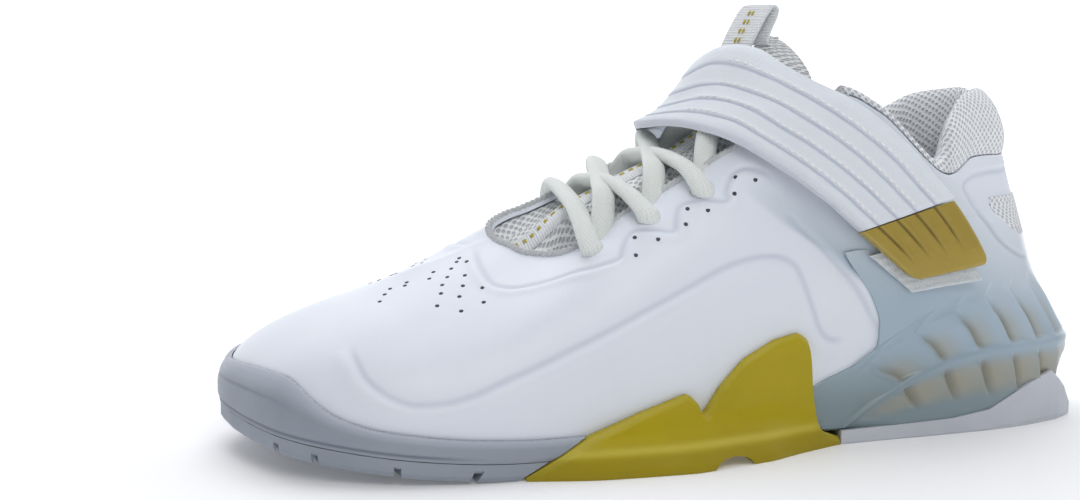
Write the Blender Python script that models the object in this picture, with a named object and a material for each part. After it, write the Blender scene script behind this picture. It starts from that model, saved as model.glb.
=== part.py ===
"""Weightlifting shoe, left foot: upper, sole pieces, tongue, collar, strap, laces.

Frame: +X to the toe, +Y to the outer (lateral) side, +Z up, floor at z = 0, and the
origin on the floor under the middle of the heel's flat tread.

Every piece comes from one surface, the last. Its columns run round the foot from the
heel centre (station 0) along a side to the toe centre (station 11). Column by column a
cubic arc climbs from the feather edge (t = 0) to the collar or throat edge (t = 1).
"""

import math

import bmesh
import bpy
import numpy as np
from mathutils import Vector
from mathutils.bvhtree import BVHTree

# Driving dimensions, in metres
SHOE_LENGTH = 0.300
BALL_WIDTH = 0.108
COLLAR_HEIGHT = 0.115
HEEL_CENTRE = 0.045
HEEL_BED = 0.027
TOE_SPRING = 0.0105
SPRING_START = 0.198

GAP = 0.0003
UPPER_WALL = 0.0022
CUP_WALL = 0.0030
TREAD = 0.0055
GROOVE_DEPTH = 0.0026
GROOVE_WIDTH = 0.0022
BUMPER_HEIGHT = 0.0210
HEEL_PLATE = 0.0042
HEEL_FIN_RISE = 0.0141
WRAP_THICKNESS = 0.0030
WRAP_LOBE_HEIGHT = 0.0388
WRAP_FLARE = 0.0120
CAGE_THICKNESS = 0.0024
RIB_RISE = 0.0022
REAR_FIN = 0.0035
INSOLE_THICKNESS = 0.0040
TONGUE_THICKNESS = 0.0060
COLLAR_PAD = 0.0085
HEEL_PAD_RISE = 0.0225
STRAP_THICKNESS = 0.0028
STRAP_WIDTH = 0.0370
TAB_THICKNESS = 0.0032
HOOK_THICKNESS = 0.0012
LACE_WIDTH = 0.0070
LACE_THICKNESS = 0.0042
EYELET_BORE = 0.0046
LOOP_WIDTH = 0.0130
LOOP_THICKNESS = 0.0014
LOOP_RISE = 0.0240

COLUMNS_PER_STATION = 3
UPPER_ROWS = 8
STATIONS = 11

# Sole outline. x: share of SHOE_LENGTH from the heel edge. y: share of BALL_WIDTH.
# station, outer x, outer y, inner x, inner y
OUTLINE = (
    (0, -0.017, 0.000, -0.017, 0.000),
    (1, 0.010, 0.185, 0.010, -0.180),
    (2, 0.080, 0.275, 0.080, -0.265),
    (3, 0.173, 0.312, 0.173, -0.298),
    (4, 0.280, 0.334, 0.287, -0.312),
    (5, 0.400, 0.380, 0.413, -0.322),
    (6, 0.517, 0.440, 0.540, -0.368),
    (7, 0.633, 0.486, 0.667, -0.454),
    (8, 0.740, 0.495, 0.777, -0.486),
    (9, 0.840, 0.435, 0.873, -0.440),
    (10, 0.923, 0.278, 0.943, -0.306),
    (11, 0.972, -0.065, 0.972, -0.065),
)

# Height of the bed under the foot above the sprung floor line, as a share of HEEL_BED
BED_SHARE = (1.0, 1.0, 1.0, 0.945, 0.83, 0.63, 0.48, 0.435, 0.43, 0.43, 0.43, 0.43)

# Distance of the feather inside the sole outline, as a share of CUP_WALL
INSET_SHARE = (3.2, 2.6, 1.6, 1.15, 1.0, 1.0, 1.0, 1.0, 1.0, 1.0, 1.0, 1.0)

# Collar and throat edge. x share of SHOE_LENGTH, y share of BALL_WIDTH,
# z share of COLLAR_HEIGHT: station, outer x, y, z, inner x, y, z
OPENING = (
    (0, 0.053, 0.000, 0.811, 0.053, 0.000, 0.811),
    (1, 0.075, 0.116, 0.811, 0.075, -0.116, 0.811),
    (2, 0.127, 0.204, 0.810, 0.127, -0.204, 0.813),
    (3, 0.180, 0.282, 0.772, 0.187, -0.259, 0.790),
    (4, 0.253, 0.259, 0.948, 0.267, -0.245, 0.957),
    (5, 0.313, 0.206, 0.995, 0.325, -0.213, 1.000),
    (6, 0.429, 0.185, 0.833, 0.447, -0.222, 0.857),
    (7, 0.527, 0.167, 0.687, 0.550, -0.213, 0.735),
    (8, 0.593, 0.148, 0.574, 0.613, -0.194, 0.668),
    (9, 0.632, 0.079, 0.558, 0.643, -0.171, 0.645),
    (10, 0.650, 0.018, 0.574, 0.663, -0.120, 0.622),
    (11, 0.663, -0.056, 0.590, 0.663, -0.056, 0.590),
)

# Arc of each column. rise: first handle, outer and inner, as shares of COLLAR_HEIGHT.
# lean: its outward lean as a share of the rise. fall: how steeply the surface leaves the
# opening, in degrees, outer and inner. reach: second handle as a share of COLLAR_HEIGHT.
ARC = (
    (0, 0.200, 0.200, -0.02, 76, 76, 0.200),
    (1, 0.200, 0.200, 0.02, 78, 78, 0.200),
    (2, 0.200, 0.200, 0.08, 82, 82, 0.200),
    (3, 0.190, 0.190, 0.08, 82, 82, 0.170),
    (4, 0.240, 0.240, 0.08, 80, 80, 0.240),
    (5, 0.290, 0.290, 0.10, 68, 70, 0.300),
    (6, 0.270, 0.260, 0.10, 48, 52, 0.270),
    (7, 0.230, 0.230, 0.10, 35, 37, 0.250),
    (8, 0.200, 0.210, 0.08, 30, 34, 0.265),
    (9, 0.195, 0.165, 0.05, 27, 35, 0.320),
    (10, 0.210, 0.170, 0.02, 25, 32, 0.400),
    (11, 0.215, 0.215, 0.00, 24, 24, 0.465),
)


def around(outer, inner):
    """Close a table of two sides into one loop: outer 0..11, then inner 10..1."""
    outer = np.asarray(outer, float)
    inner = np.asarray(inner, float)
    return np.concatenate([outer, inner[-2:0:-1]])


def spline(values, theta):
    """Closed Catmull-Rom curve through values at whole stations, read at theta."""
    values = np.asarray(values, float)
    count = len(values)
    theta = np.asarray(theta, float)
    base = np.floor(theta).astype(int)
    f = theta - base
    p0, p1, p2, p3 = (values[(base + k) % count] for k in (-1, 0, 1, 2))
    f = f.reshape(f.shape + (1,) * (values.ndim - 1))
    return 0.5 * (2 * p1 + (p2 - p0) * f + (2 * p0 - 5 * p1 + 4 * p2 - p3) * f ** 2
                  + (3 * p1 - p0 - 3 * p2 + p3) * f ** 3)


OUTLINE_LOOP = around([(r[1] * SHOE_LENGTH, r[2] * BALL_WIDTH) for r in OUTLINE],
                      [(r[3] * SHOE_LENGTH, r[4] * BALL_WIDTH) for r in OUTLINE])
OPENING_LOOP = around(
    [(r[1] * SHOE_LENGTH, r[2] * BALL_WIDTH, r[3] * COLLAR_HEIGHT) for r in OPENING],
    [(r[4] * SHOE_LENGTH, r[5] * BALL_WIDTH, r[6] * COLLAR_HEIGHT) for r in OPENING])
BED_LOOP = around([s * HEEL_BED for s in BED_SHARE], [s * HEEL_BED for s in BED_SHARE])
INSET_LOOP = around([s * CUP_WALL for s in INSET_SHARE], [s * CUP_WALL for s in INSET_SHARE])
ARC_LOOP = around(
    [(r[1] * COLLAR_HEIGHT, r[3], math.radians(r[4]), r[6] * COLLAR_HEIGHT) for r in ARC],
    [(r[2] * COLLAR_HEIGHT, r[3], math.radians(r[5]), r[6] * COLLAR_HEIGHT) for r in ARC])


def theta_of(station, side):
    """Loop parameter of a station on the outer (+1) or inner (-1) side."""
    station = np.asarray(station, float)
    return station if side > 0 else 2 * STATIONS - station


def outline(theta):
    return spline(OUTLINE_LOOP, theta)


def plan_normal(theta):
    """Unit normal of the sole outline in plan, pointing out of the shoe."""
    step = 0.02
    d = outline(np.asarray(theta) + step) - outline(np.asarray(theta) - step)
    d /= np.linalg.norm(d, axis=-1, keepdims=True)
    return np.stack([-d[..., 1], d[..., 0]], -1)


def spring(x):
    """Rise of the sole's underside towards the toe."""
    run = np.clip((x - SPRING_START) / (0.97 * SHOE_LENGTH - SPRING_START), 0, None)
    return TOE_SPRING * run ** 1.6


def feather(theta):
    """Edge where the upper meets the sole, inside the outline."""
    plan = outline(theta) - spline(INSET_LOOP, theta)[..., None] * plan_normal(theta)
    return np.concatenate([plan, bed(theta)[..., None]], -1)


def bed(theta):
    return spline(BED_LOOP, theta) + spring(outline(theta)[..., 0])


def last(theta, t):
    """Outer surface of the upper: a cubic arc from the feather to the opening."""
    theta, t = np.broadcast_arrays(np.asarray(theta, float), np.asarray(t, float))
    foot = feather(theta)
    edge = spline(OPENING_LOOP, theta)
    rise, lean, fall, reach = np.moveaxis(spline(ARC_LOOP, theta), -1, 0)
    normal = plan_normal(theta)
    out = foot[..., :2] - edge[..., :2] + 0.010 * normal
    out /= np.linalg.norm(out, axis=-1, keepdims=True)
    first = foot + rise[..., None] * np.concatenate(
        [lean[..., None] * normal, np.ones(theta.shape + (1,))], -1)
    second = edge + reach[..., None] * np.concatenate(
        [np.cos(fall)[..., None] * out, -np.sin(fall)[..., None]], -1)
    t = t[..., None]
    return ((1 - t) ** 3 * foot + 3 * t * (1 - t) ** 2 * first
            + 3 * t ** 2 * (1 - t) * second + t ** 3 * edge)


def normal_of(theta, t):
    """Outward unit normal of the last."""
    a = 0.03
    b = 0.01
    low = np.clip(np.asarray(t) - b, 0, 1)
    high = np.clip(np.asarray(t) + b, 0, 1)
    along = last(np.asarray(theta) + a, t) - last(np.asarray(theta) - a, t)
    up = last(theta, high) - last(theta, low)
    n = np.cross(up, along)
    return n / np.linalg.norm(n, axis=-1, keepdims=True)


def skin(theta, t, lift=0.0):
    """Point on the last, raised by lift along its normal."""
    lift = np.asarray(lift, float)
    return last(theta, t) + lift[..., None] * normal_of(theta, t)


def t_at_height(theta, z):
    """Parameter t where each column reaches height z."""
    theta, z = np.broadcast_arrays(np.asarray(theta, float), np.asarray(z, float))
    samples = np.linspace(0, 1, 81)
    heights = last(theta.reshape(-1, 1), samples[None, :])[..., 2]
    out = [np.interp(h, row, samples) for h, row in zip(z.ravel(), heights)]
    return np.array(out).reshape(theta.shape)


def wall(theta, z, lift):
    """The last's side at height z, carried straight down below the feather."""
    theta, z, lift = np.broadcast_arrays(*(np.asarray(v, float) for v in (theta, z, lift)))
    n = plan_normal(theta)
    point = last(theta, t_at_height(theta, z))
    point[..., :2] += lift[..., None] * n
    point[..., 2] = z
    return point


def station_at(x, side):
    """Station where the outline reaches x on one side."""
    stations = np.linspace(0.2, STATIONS, 400)
    return np.interp(x, outline(theta_of(stations, side))[:, 0], stations)


def station_grid(low, high, per=COLUMNS_PER_STATION):
    """Stations from low to high, on the columns that all pieces share."""
    first = math.floor(low * per + 1e-6) + 1
    final = math.ceil(high * per - 1e-6) - 1
    inner = [k / per for k in range(first, final + 1)]
    return np.array([low] + inner + [high])


def table(rows, at):
    """Read named columns of a short table at a value of its first column."""
    rows = np.asarray(rows, float)
    return [np.interp(at, rows[:, 0], rows[:, k]) for k in range(1, rows.shape[1])]


# Meshes

def fresh_scene():
    for thing in list(bpy.data.objects):
        bpy.data.objects.remove(thing, do_unlink=True)
    part = bpy.data.collections.new("weightlifting_shoe")
    cutters = bpy.data.collections.new("cutters")
    for collection in (part, cutters):
        bpy.context.scene.collection.children.link(collection)
    return part, cutters


PART, CUTTERS = fresh_scene()


def material(name, colour, roughness, metallic=0.0):
    made = bpy.data.materials.new(name)
    made.use_nodes = True
    shader = made.node_tree.nodes["Principled BSDF"]
    shader.inputs["Base Color"].default_value = (*colour, 1.0)
    shader.inputs["Roughness"].default_value = roughness
    shader.inputs["Metallic"].default_value = metallic
    return made


WHITE = material("white_synthetic", (0.80, 0.81, 0.86), 0.5)
GREY = material("pale_blue_rubber", (0.42, 0.48, 0.54), 0.6)
GOLD = material("gold_rubber", (0.47, 0.36, 0.03), 0.45)
ICE = material("icy_cage", (0.38, 0.48, 0.55), 0.25)
MESH = material("pale_mesh", (0.62, 0.65, 0.66), 0.9)
FOAM = material("sock_liner", (0.60, 0.62, 0.64), 0.9)
WEBBING = material("white_webbing", (0.74, 0.76, 0.78), 0.8)
TAB = material("bronze_gold_tab", (0.33, 0.25, 0.08), 0.45, 0.3)
CORD = material("lace_cord", (0.72, 0.75, 0.72), 0.85)


class Skin:
    """Grids of points that share their edges and close into one solid."""

    def __init__(self):
        self.points = []
        self.faces = []
        self.total = 0

    def grid(self, points, loop=False):
        """Add a grid of quads; loop joins the last row to the first."""
        points = np.asarray(points, float)
        rows, columns = points.shape[:2]
        if loop:
            points = np.concatenate([points, points[:1]])
            rows += 1
        i = np.arange(rows - 1)[:, None] * columns + np.arange(columns - 1)[None, :]
        i = i.ravel() + self.total
        self.faces += np.stack([i, i + 1, i + columns + 1, i + columns], -1).tolist()
        self.points.append(points.reshape(-1, 3))
        self.total += rows * columns

    def build(self, name, finish):
        """Weld the grids, drop collapsed faces and turn all faces outwards."""
        mesh = bpy.data.meshes.new(name)
        points = np.concatenate(self.points) - (HEEL_CENTRE, 0, 0)
        mesh.from_pydata(points.tolist(), [], self.faces)
        return finish_mesh(name, mesh, finish)


def finish_mesh(name, mesh, finish):
    work = bmesh.new()
    work.from_mesh(mesh)
    bmesh.ops.remove_doubles(work, verts=work.verts, dist=0.00002)
    bmesh.ops.dissolve_degenerate(work, dist=0.00001, edges=work.edges)
    bmesh.ops.recalc_face_normals(work, faces=work.faces)
    work.to_mesh(mesh)
    work.free()
    mesh.materials.append(finish)
    mesh.shade_smooth()
    mesh.set_sharp_from_angle(angle=math.radians(35))
    thing = bpy.data.objects.new(name, mesh)
    PART.objects.link(thing)
    return thing


def across(first, second, count):
    """Cross lines between two rows of points, straight but for the sole's spring."""
    w = np.linspace(0, 1, count)[:, None]
    up = np.array((0, 0, 1))
    flat = [side - spring(side[:, :1]) * up for side in (first, second)]
    lines = flat[0][:, None] * (1 - w) + flat[1][:, None] * w
    return lines + spring(lines[..., :1]) * up


def trough(name, outer, inner, finish, cross=5):
    """Sole piece: two side walls joined by a bed and an underside.

    outer and inner hold a lateral and a medial grid each, stations by rows. Where the
    walls meet, at the heel or toe centre, the trough closes by itself.
    """
    piece = Skin()
    under = across(outer[0][:, 0], outer[1][:, 0], cross)
    floor = across(inner[0][:, 0], inner[1][:, 0], cross)
    piece.grid(under)
    piece.grid(floor)
    open_ends = [end for end in (0, -1)
                 if not np.allclose(outer[0][end], outer[1][end], atol=0.00002)]
    for out, ins in zip(outer, inner):
        piece.grid(out)
        piece.grid(ins)
        piece.grid(np.stack([out[:, -1], ins[:, -1]], 1))
        for end in open_ends:
            piece.grid(np.stack([out[end], ins[end]], 0))
    for end in open_ends:
        piece.grid(np.stack([under[end], floor[end]], 0))
    return piece.build(name, finish)


def loft(name, rings, finish, ladder=None):
    """Closed rings joined in order, each end closed by a fan, or by a ladder of rungs
    between two lists of ring points where the section is hollow-sided."""
    piece = Skin()
    rings = np.asarray(rings, float)
    closed = np.concatenate([rings, rings[:, :1]], 1)
    piece.grid(closed)
    for end in (0, -1):
        if ladder:
            piece.grid(np.stack([rings[end, list(ladder[0])], rings[end, list(ladder[1])]], 1))
        else:
            middle = np.repeat(rings[end].mean(0)[None], closed.shape[1], 0)
            piece.grid(np.stack([closed[end], middle], 0))
    return piece.build(name, finish)


def cut(target, cutter):
    """Cut one object out of another and keep the result as plain mesh."""
    modifier = target.modifiers.new("cut", "BOOLEAN")
    modifier.operation = "DIFFERENCE"
    modifier.object = cutter
    cutter.display_type = "WIRE"
    cutter.hide_render = True


# Upper

# Eyelets: centre x as a share of SHOE_LENGTH, on both sides of the throat
EYELETS = (0.578, 0.517, 0.457, 0.400)
EYELET_T = 0.87


def eyelet_station(x, side):
    """Station whose column passes x at the eyelets' height on the last."""
    stations = np.linspace(4.2, 9.5, 160)
    xs = last(theta_of(stations, side), EYELET_T)[:, 0]
    return np.interp(x * SHOE_LENGTH, xs, stations)


def make_upper():
    theta = np.arange(2 * STATIONS * COLUMNS_PER_STATION) / COLUMNS_PER_STATION
    t = np.linspace(0, 1, UPPER_ROWS + 1)
    outer = skin(theta[:, None], t[None, :], np.zeros(1))
    inner = skin(theta[:, None], t[None, :], np.full(1, -UPPER_WALL))
    shell = Skin()
    shell.grid(outer, loop=True)
    shell.grid(inner, loop=True)
    for row in (0, -1):
        shell.grid(np.stack([outer[:, row], inner[:, row]], 1), loop=True)
    upper = shell.build("upper", WHITE)
    punches = bpy.data.meshes.new("eyelet_punches")
    work = bmesh.new()
    for x in EYELETS:
        for side in (1, -1):
            theta_e = theta_of(eyelet_station(x, side), side)
            centre = skin(theta_e, EYELET_T, -UPPER_WALL / 2)
            axis = normal_of(theta_e, EYELET_T)
            place = to_matrix(centre - (HEEL_CENTRE, 0, 0), axis)
            bmesh.ops.create_cone(work, cap_ends=True, segments=10, matrix=place,
                                  radius1=EYELET_BORE / 2, radius2=EYELET_BORE / 2,
                                  depth=3 * UPPER_WALL)
    work.to_mesh(punches)
    work.free()
    cutter = bpy.data.objects.new("eyelet_punches", punches)
    CUTTERS.objects.link(cutter)
    cut(upper, cutter)
    return upper


def to_matrix(centre, axis):
    """Placement matrix whose Z runs along the axis."""
    turn = Vector(axis).to_track_quat("Z", "Y").to_matrix().to_4x4()
    turn.translation = Vector(centre)
    return turn


# Sole

# Rim of the cup above the bed, as a share of BUMPER_HEIGHT: station, share
RIM = ((0, 0.0), (7.0, 0.03), (7.6, 0.05), (8.2, 0.07), (8.9, 0.10), (9.3, 0.20),
       (9.65, 0.42), (9.95, 0.58), (10.4, 0.54), (11, 0.41))

# Cup's side: share of its height, share of CUP_WALL outside the last
CUP_PROFILE = ((0.0, 0.78), (0.18, 1.0), (0.45, 0.98), (0.75, 0.82), (1.0, 0.50))
WRAP_REAR = 0.305
CUP_REAR = 0.3430
WRAP_FRONT = 0.678
WRAP_SLOPE = 1.85


def front_of_wrap(z):
    """x of the forefoot's slanted joint with the gold wrap, at height z."""
    return WRAP_FRONT * SHOE_LENGTH - WRAP_SLOPE * z + 4 * GAP


def make_cupsole():
    """Forefoot cup: flush under the upper at the arch, a rim and bumper in front."""
    joint_top = 2 * TREAD
    grids = {"outer": [], "inner": []}
    for side in (1, -1):
        first = station_at(CUP_REAR * SHOE_LENGTH, side)
        low = station_at(front_of_wrap(TREAD), side)
        high = station_at(front_of_wrap(joint_top), side)
        middle = (low + high) / 2
        arch = np.append(station_grid(first, middle)[:-1], middle)
        front = station_grid(middle, STATIONS)
        stations = np.concatenate([arch, front])
        ahead = np.concatenate([np.zeros(len(arch)), np.ones(len(front))])
        near = np.clip(1 - np.abs(stations - middle) / 0.9, 0, 1)
        share = np.array([row[0] for row in CUP_PROFILE])
        thick = np.array([row[1] for row in CUP_PROFILE]) * CUP_WALL
        bottom = spring(outline(theta_of(stations, side))[:, 0]) + TREAD + GAP
        edge = bed(theta_of(stations, side)) - GAP
        rim = edge + BUMPER_HEIGHT * table(RIM, stations)[0] * ahead
        z = bottom[:, None] + (rim - bottom)[:, None] * share
        slant = (z - 1.5 * TREAD) / TREAD * (high - low)
        where = theta_of(np.minimum(stations[:, None] + slant * near[:, None], STATIONS), side)
        z[:, 0] = spring(outline(where[:, 0])[:, 0]) + TREAD + GAP
        lift = thick * ahead[:, None]
        outer = wall(where, z, lift)
        z_in = edge[:, None] + (rim - edge)[:, None] * share
        inner = wall(where, z_in, GAP * ahead[:, None])
        grids["outer"].append(outer)
        grids["inner"].append(inner)
    return trough("cupsole", grids["outer"], grids["inner"], GREY, cross=7)


# Flex grooves of the tread: outer x, inner x, shares of SHOE_LENGTH
GROOVES = ((0.727, 0.787), (0.803, 0.853), (0.883, 0.917), (0.920, 0.952))


def make_tread():
    """Forefoot tread with grooves that run obliquely across."""
    marks = [tuple(station_at(front_of_wrap(0), side) for side in (1, -1))]
    marks += [(station_at(a * SHOE_LENGTH, 1), station_at(b * SHOE_LENGTH, -1))
              for a, b in GROOVES]
    marks += [(STATIONS, STATIONS)]
    outer_marks, inner_marks = np.array(marks).T
    stations = station_grid(outer_marks[0], STATIONS)
    drop = np.zeros(len(stations))
    keep = np.ones(len(stations), bool)
    for mark in outer_marks[1:-1]:
        keep &= np.abs(stations - mark) > 0.12
    stations, drop = stations[keep], drop[keep]
    half = GROOVE_WIDTH / 2 / (0.1 * SHOE_LENGTH)
    for mark in outer_marks[1:-1]:
        stations = np.concatenate([stations, [mark - half, mark - half, mark + half, mark + half]])
        drop = np.concatenate([drop, [0, 1, 1, 0]])
    rank = np.lexsort((np.arange(len(stations)), stations))
    stations, drop = stations[rank], drop[rank]
    walls = []
    for side in (1, -1):
        own = stations if side > 0 else np.interp(stations, outer_marks, inner_marks)
        x = outline(theta_of(own, side))[:, 0]
        floor_z = spring(x)
        z = np.stack([floor_z + GROOVE_DEPTH * drop, floor_z + GROOVE_DEPTH * drop
                      + 0.3 * (TREAD - GROOVE_DEPTH * drop), floor_z + TREAD], 1)
        joint = station_at(front_of_wrap(TREAD), side)
        back = np.clip(1 - (own - own[0]) / 0.6, 0, 1)[:, None] * (own[0] - joint)
        where = theta_of(own[:, None] - back * (z - floor_z[:, None]) / TREAD, side)
        z[:, 2] = spring(outline(where[:, 2])[:, 0]) + TREAD
        lift = np.array([0.50, 0.80, 0.78]) * CUP_WALL
        walls.append(wall(where, z, lift[None, :]))
    lids = [np.repeat(w[:, -1:], 3, 1) for w in walls]
    return trough("outsole_forefoot", walls, lids, GREY, cross=5)


# Top of the gold wrap. x: share of SHOE_LENGTH; outer and inner height: shares of
# WRAP_LOBE_HEIGHT
WRAP_TOP = ((0.305, 0.065, 0.065), (0.328, 0.137, 0.137), (0.338, 0.250, 0.170),
            (0.3415, 0.560, 0.200), (0.3455, 0.800, 0.250), (0.352, 0.935, 0.310),
            (0.365, 1.000, 0.420), (0.394, 0.956, 0.560), (0.429, 0.817, 0.660),
            (0.455, 0.600, 0.670), (0.470, 0.412, 0.660), (0.476, 0.374, 0.650),
            (0.481, 0.492, 0.640), (0.494, 0.580, 0.610), (0.550, 0.454, 0.460),
            (0.604, 0.312, 0.310), (0.638, 0.175, 0.175), (0.672, 0.025, 0.025))
# Side of the wrap: height as a share of TREAD, wall as a share of WRAP_THICKNESS,
# share of WRAP_FLARE
WRAP_PROFILE = ((0.0, 0.70, 0.95), (0.25, 0.80, 1.0), (1.30, 0.90, 0.66), (1.55, 0.92, 0.58),
                (2.1, 0.95, 0.30), (3.0, 1.0, 0.10), (4.5, 1.0, 0.0), (9.0, 1.0, 0.0))
# Flare along the foot: x as a share of SHOE_LENGTH, outer share, inner share
WRAP_SPREAD = ((0.305, 0.0, 0.0), (0.37, 0.48, 0.12), (0.405, 0.80, 0.22), (0.50, 1.0, 0.25),
               (0.60, 0.56, 0.15), (0.672, 0.0, 0.0))
WRAP_ARCH = (0.455, 0.024, 0.0034)


def rear_of_wrap(z):
    """x of the gold wrap's rear edge at height z."""
    rear = np.array(WRAP_TOP[:6])
    return np.interp(z, rear[:, 1] * WRAP_LOBE_HEIGHT, rear[:, 0] * SHOE_LENGTH)


def make_wrap():
    """Gold plate under the arch with lobes that climb the last on both sides."""
    rows = np.array([0.0, 0.10, 0.24, 0.42, 0.62, 0.82, 0.95, 1.0])
    xs = np.array([r[0] for r in WRAP_TOP]) * SHOE_LENGTH
    xs = np.sort(np.concatenate([xs, (xs[1:] + xs[:-1])[6:8] / 2, (xs[1:] + xs[:-1])[13:15] / 2]))
    outer, inner = [], []
    for side, column in ((1, 0), (-1, 1)):
        station = station_at(xs, side)
        top = table(WRAP_TOP, xs / SHOE_LENGTH)[column] * WRAP_LOBE_HEIGHT
        middle, half, rise = WRAP_ARCH
        arch = rise * np.clip(1 - ((xs / SHOE_LENGTH - middle) / half) ** 2, 0, 1) ** 0.5
        z = arch[:, None] + (top - arch)[:, None] * rows
        body, spread = table(WRAP_PROFILE, z / TREAD)
        flare = WRAP_FLARE * table(WRAP_SPREAD, xs / SHOE_LENGTH)[column][:, None]
        lift = body * WRAP_THICKNESS + spread * flare + GAP
        lift = np.where(rows > 0.97, lift - 0.35 * WRAP_THICKNESS, lift)
        theta = theta_of(station[:, None], side)
        outer.append(wall(theta, z, lift))
        plate = np.minimum(TREAD - GAP, top)
        z_in = plate[:, None] + (top - plate)[:, None] * rows
        inner.append(wall(theta, z_in, GAP))
    return trough("midfoot_wrap", outer, inner, GOLD, cross=5)


# Heel cage rows. front height and front x, heel height, share of the inset, wall, fin,
# steepness of the climb; heights as shares of COLLAR_HEIGHT, x of SHOE_LENGTH, walls of
# CAGE_THICKNESS, fin of REAR_FIN
CAGE_ROWS = (
    (0.0400, 0.323, 0.0400, 0.80, 0.10, 0.0, 3.2),
    (0.0430, 0.330, 0.0960, 0.95, 0.15, 0.0, 3.2),
    (0.0460, 0.334, 0.1740, 0.98, 0.35, 0.0, 3.2),
    (0.0490, 0.337, 0.2480, 1.00, 0.80, 1.0, 3.2),
    (0.0530, 0.339, 0.2700, 0.88, 0.50, 0.6, 3.2),
    (0.0570, 0.340, 0.3170, 0.72, 0.45, 0.0, 3.2),
    (0.0650, 0.341, 0.3740, 0.42, 0.40, 0.0, 3.0),
    (0.1740, 0.341, 0.4260, 0.16, 0.40, 0.0, 2.4),
    (0.2270, 0.282, 0.4600, 0.06, 0.40, 0.0, 1.8),
    (0.2730, 0.257, 0.4960, 0.02, 0.40, 0.0, 1.6),
    (0.3570, 0.257, 0.5650, 0.0, 0.36, 0.0, 1.6),
    (0.4350, 0.272, 0.6080, 0.0, 0.34, 0.0, 1.6),
    (0.5650, 0.320, 0.6870, 0.0, 0.30, 0.0, 1.6),
)
RIBS_PER_SIDE = 6
COLUMNS_PER_RIB = 3


def cage_point(side, s, row, rib):
    """Column, height and lift of the cage at share s from its front to the heel centre."""
    rows = np.array(CAGE_ROWS)
    index = np.arange(len(rows))
    z_front, x_front, z_heel, inset, body, fin, steep = (
        np.interp(row, index, c) for c in rows.T)
    climb = 1 - (1 - np.clip((s - 0.05) / 0.60, 0, 1)) ** steep
    z = (z_front + (z_heel - z_front) * climb) * COLLAR_HEIGHT
    x_front = np.minimum(x_front * SHOE_LENGTH,
                         rear_of_wrap(z_front * COLLAR_HEIGHT) - 3 * GAP)
    station = station_at(x_front, side) * (1 - s)
    theta = theta_of(station, side)
    back = np.clip(1 - station / 1.6, 0, 1)
    lift = (inset * spline(INSET_LOOP, theta) * np.clip(s * 6, 0, 1) + body * CAGE_THICKNESS
            + fin * REAR_FIN * back + rib)
    return theta, station, z, np.maximum(lift, 2 * GAP)


def make_cage():
    """Translucent wedge and shell with two rows of overlapping faceted ribs."""
    ribs = RIBS_PER_SIDE * COLUMNS_PER_RIB
    s, row = np.meshgrid(np.linspace(0, 1, ribs + 1), np.arange(len(CAGE_ROWS)), indexing="ij")
    step = np.arange(ribs + 1)[:, None]
    lower = ((step % COLUMNS_PER_RIB) / (COLUMNS_PER_RIB - 1)) * np.isin(row, (1, 2))
    upper = (((step + 1) % COLUMNS_PER_RIB) / (COLUMNS_PER_RIB - 1)) * np.isin(row, (4, 5))
    edge = np.clip((s - 0.1) * 6, 0, 1) * np.clip((1 - s) * 8, 0, 1)
    rib = RIB_RISE * edge * (lower + 0.9 * upper - 0.4 * np.isin(row, (1, 2, 4, 5)))
    outer, inner = [], []
    for side in (1, -1):
        theta, station, z, lift = cage_point(side, s, row, rib)
        in_fin = z < fin_top(station) + 1.5 * HEEL_PLATE
        room = fin_reach(theta, station) - FIN_WALL - 3 * GAP
        lift = np.where(in_fin, np.minimum(lift, room), lift)
        outer.append(wall(theta, z, lift))
        inner.append(wall(theta, np.maximum(z, bed(theta) - GAP), GAP))
    return trough("heel_cage", outer, inner, ICE, cross=7)


# Heel plate. station, wall height as a share of HEEL_FIN_RISE above the plate, reach
# beyond the sole outline as a share of CUP_WALL
HEEL_EDGE = ((0.0, 0.01, 0.15), (0.45, 0.01, 0.80), (0.72, 0.02, 1.80), (0.93, 0.50, 1.25),
             (1.30, 1.0, 0.70), (1.75, 0.77, 0.45), (2.04, 0.55, 0.30), (2.4, 0.23, 0.20),
             (2.9, 0.10, 0.10), (3.6, 0.06, 0.05), (5.0, 0.02, 0.0))
FIN_WALL = 0.0013


def fin_top(station):
    return HEEL_PLATE + HEEL_FIN_RISE * table(HEEL_EDGE, station)[0]


def fin_reach(theta, station):
    return spline(INSET_LOOP, theta) + table(HEEL_EDGE, station)[1] * CUP_WALL


def make_heel_plate():
    """Flat heel tread with an upturned fin at each rear corner."""
    outer, inner = [], []
    rows = np.array([0.0, 0.12, 0.5, 1.0])
    for side in (1, -1):
        first = station_at(WRAP_REAR * SHOE_LENGTH - GAP, side)
        marks = [r[0] for r in HEEL_EDGE if r[0] < first - 0.2]
        station = np.sort(np.concatenate([marks, [first, 0.6, 1.1, 3.25]]))[::-1]
        top = fin_top(station)
        z = top[:, None] * rows
        theta = theta_of(station, side)
        reach = fin_reach(theta, station)
        lift = reach[:, None] - 0.0006 * (rows < 0.05)
        outer.append(wall(theta[:, None], z, lift))
        z_in = HEEL_PLATE + (top - HEEL_PLATE)[:, None] * rows
        inner.append(wall(theta[:, None], z_in, (reach - FIN_WALL)[:, None]))
    return trough("outsole_heel", outer, inner, WHITE, cross=5)


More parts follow.
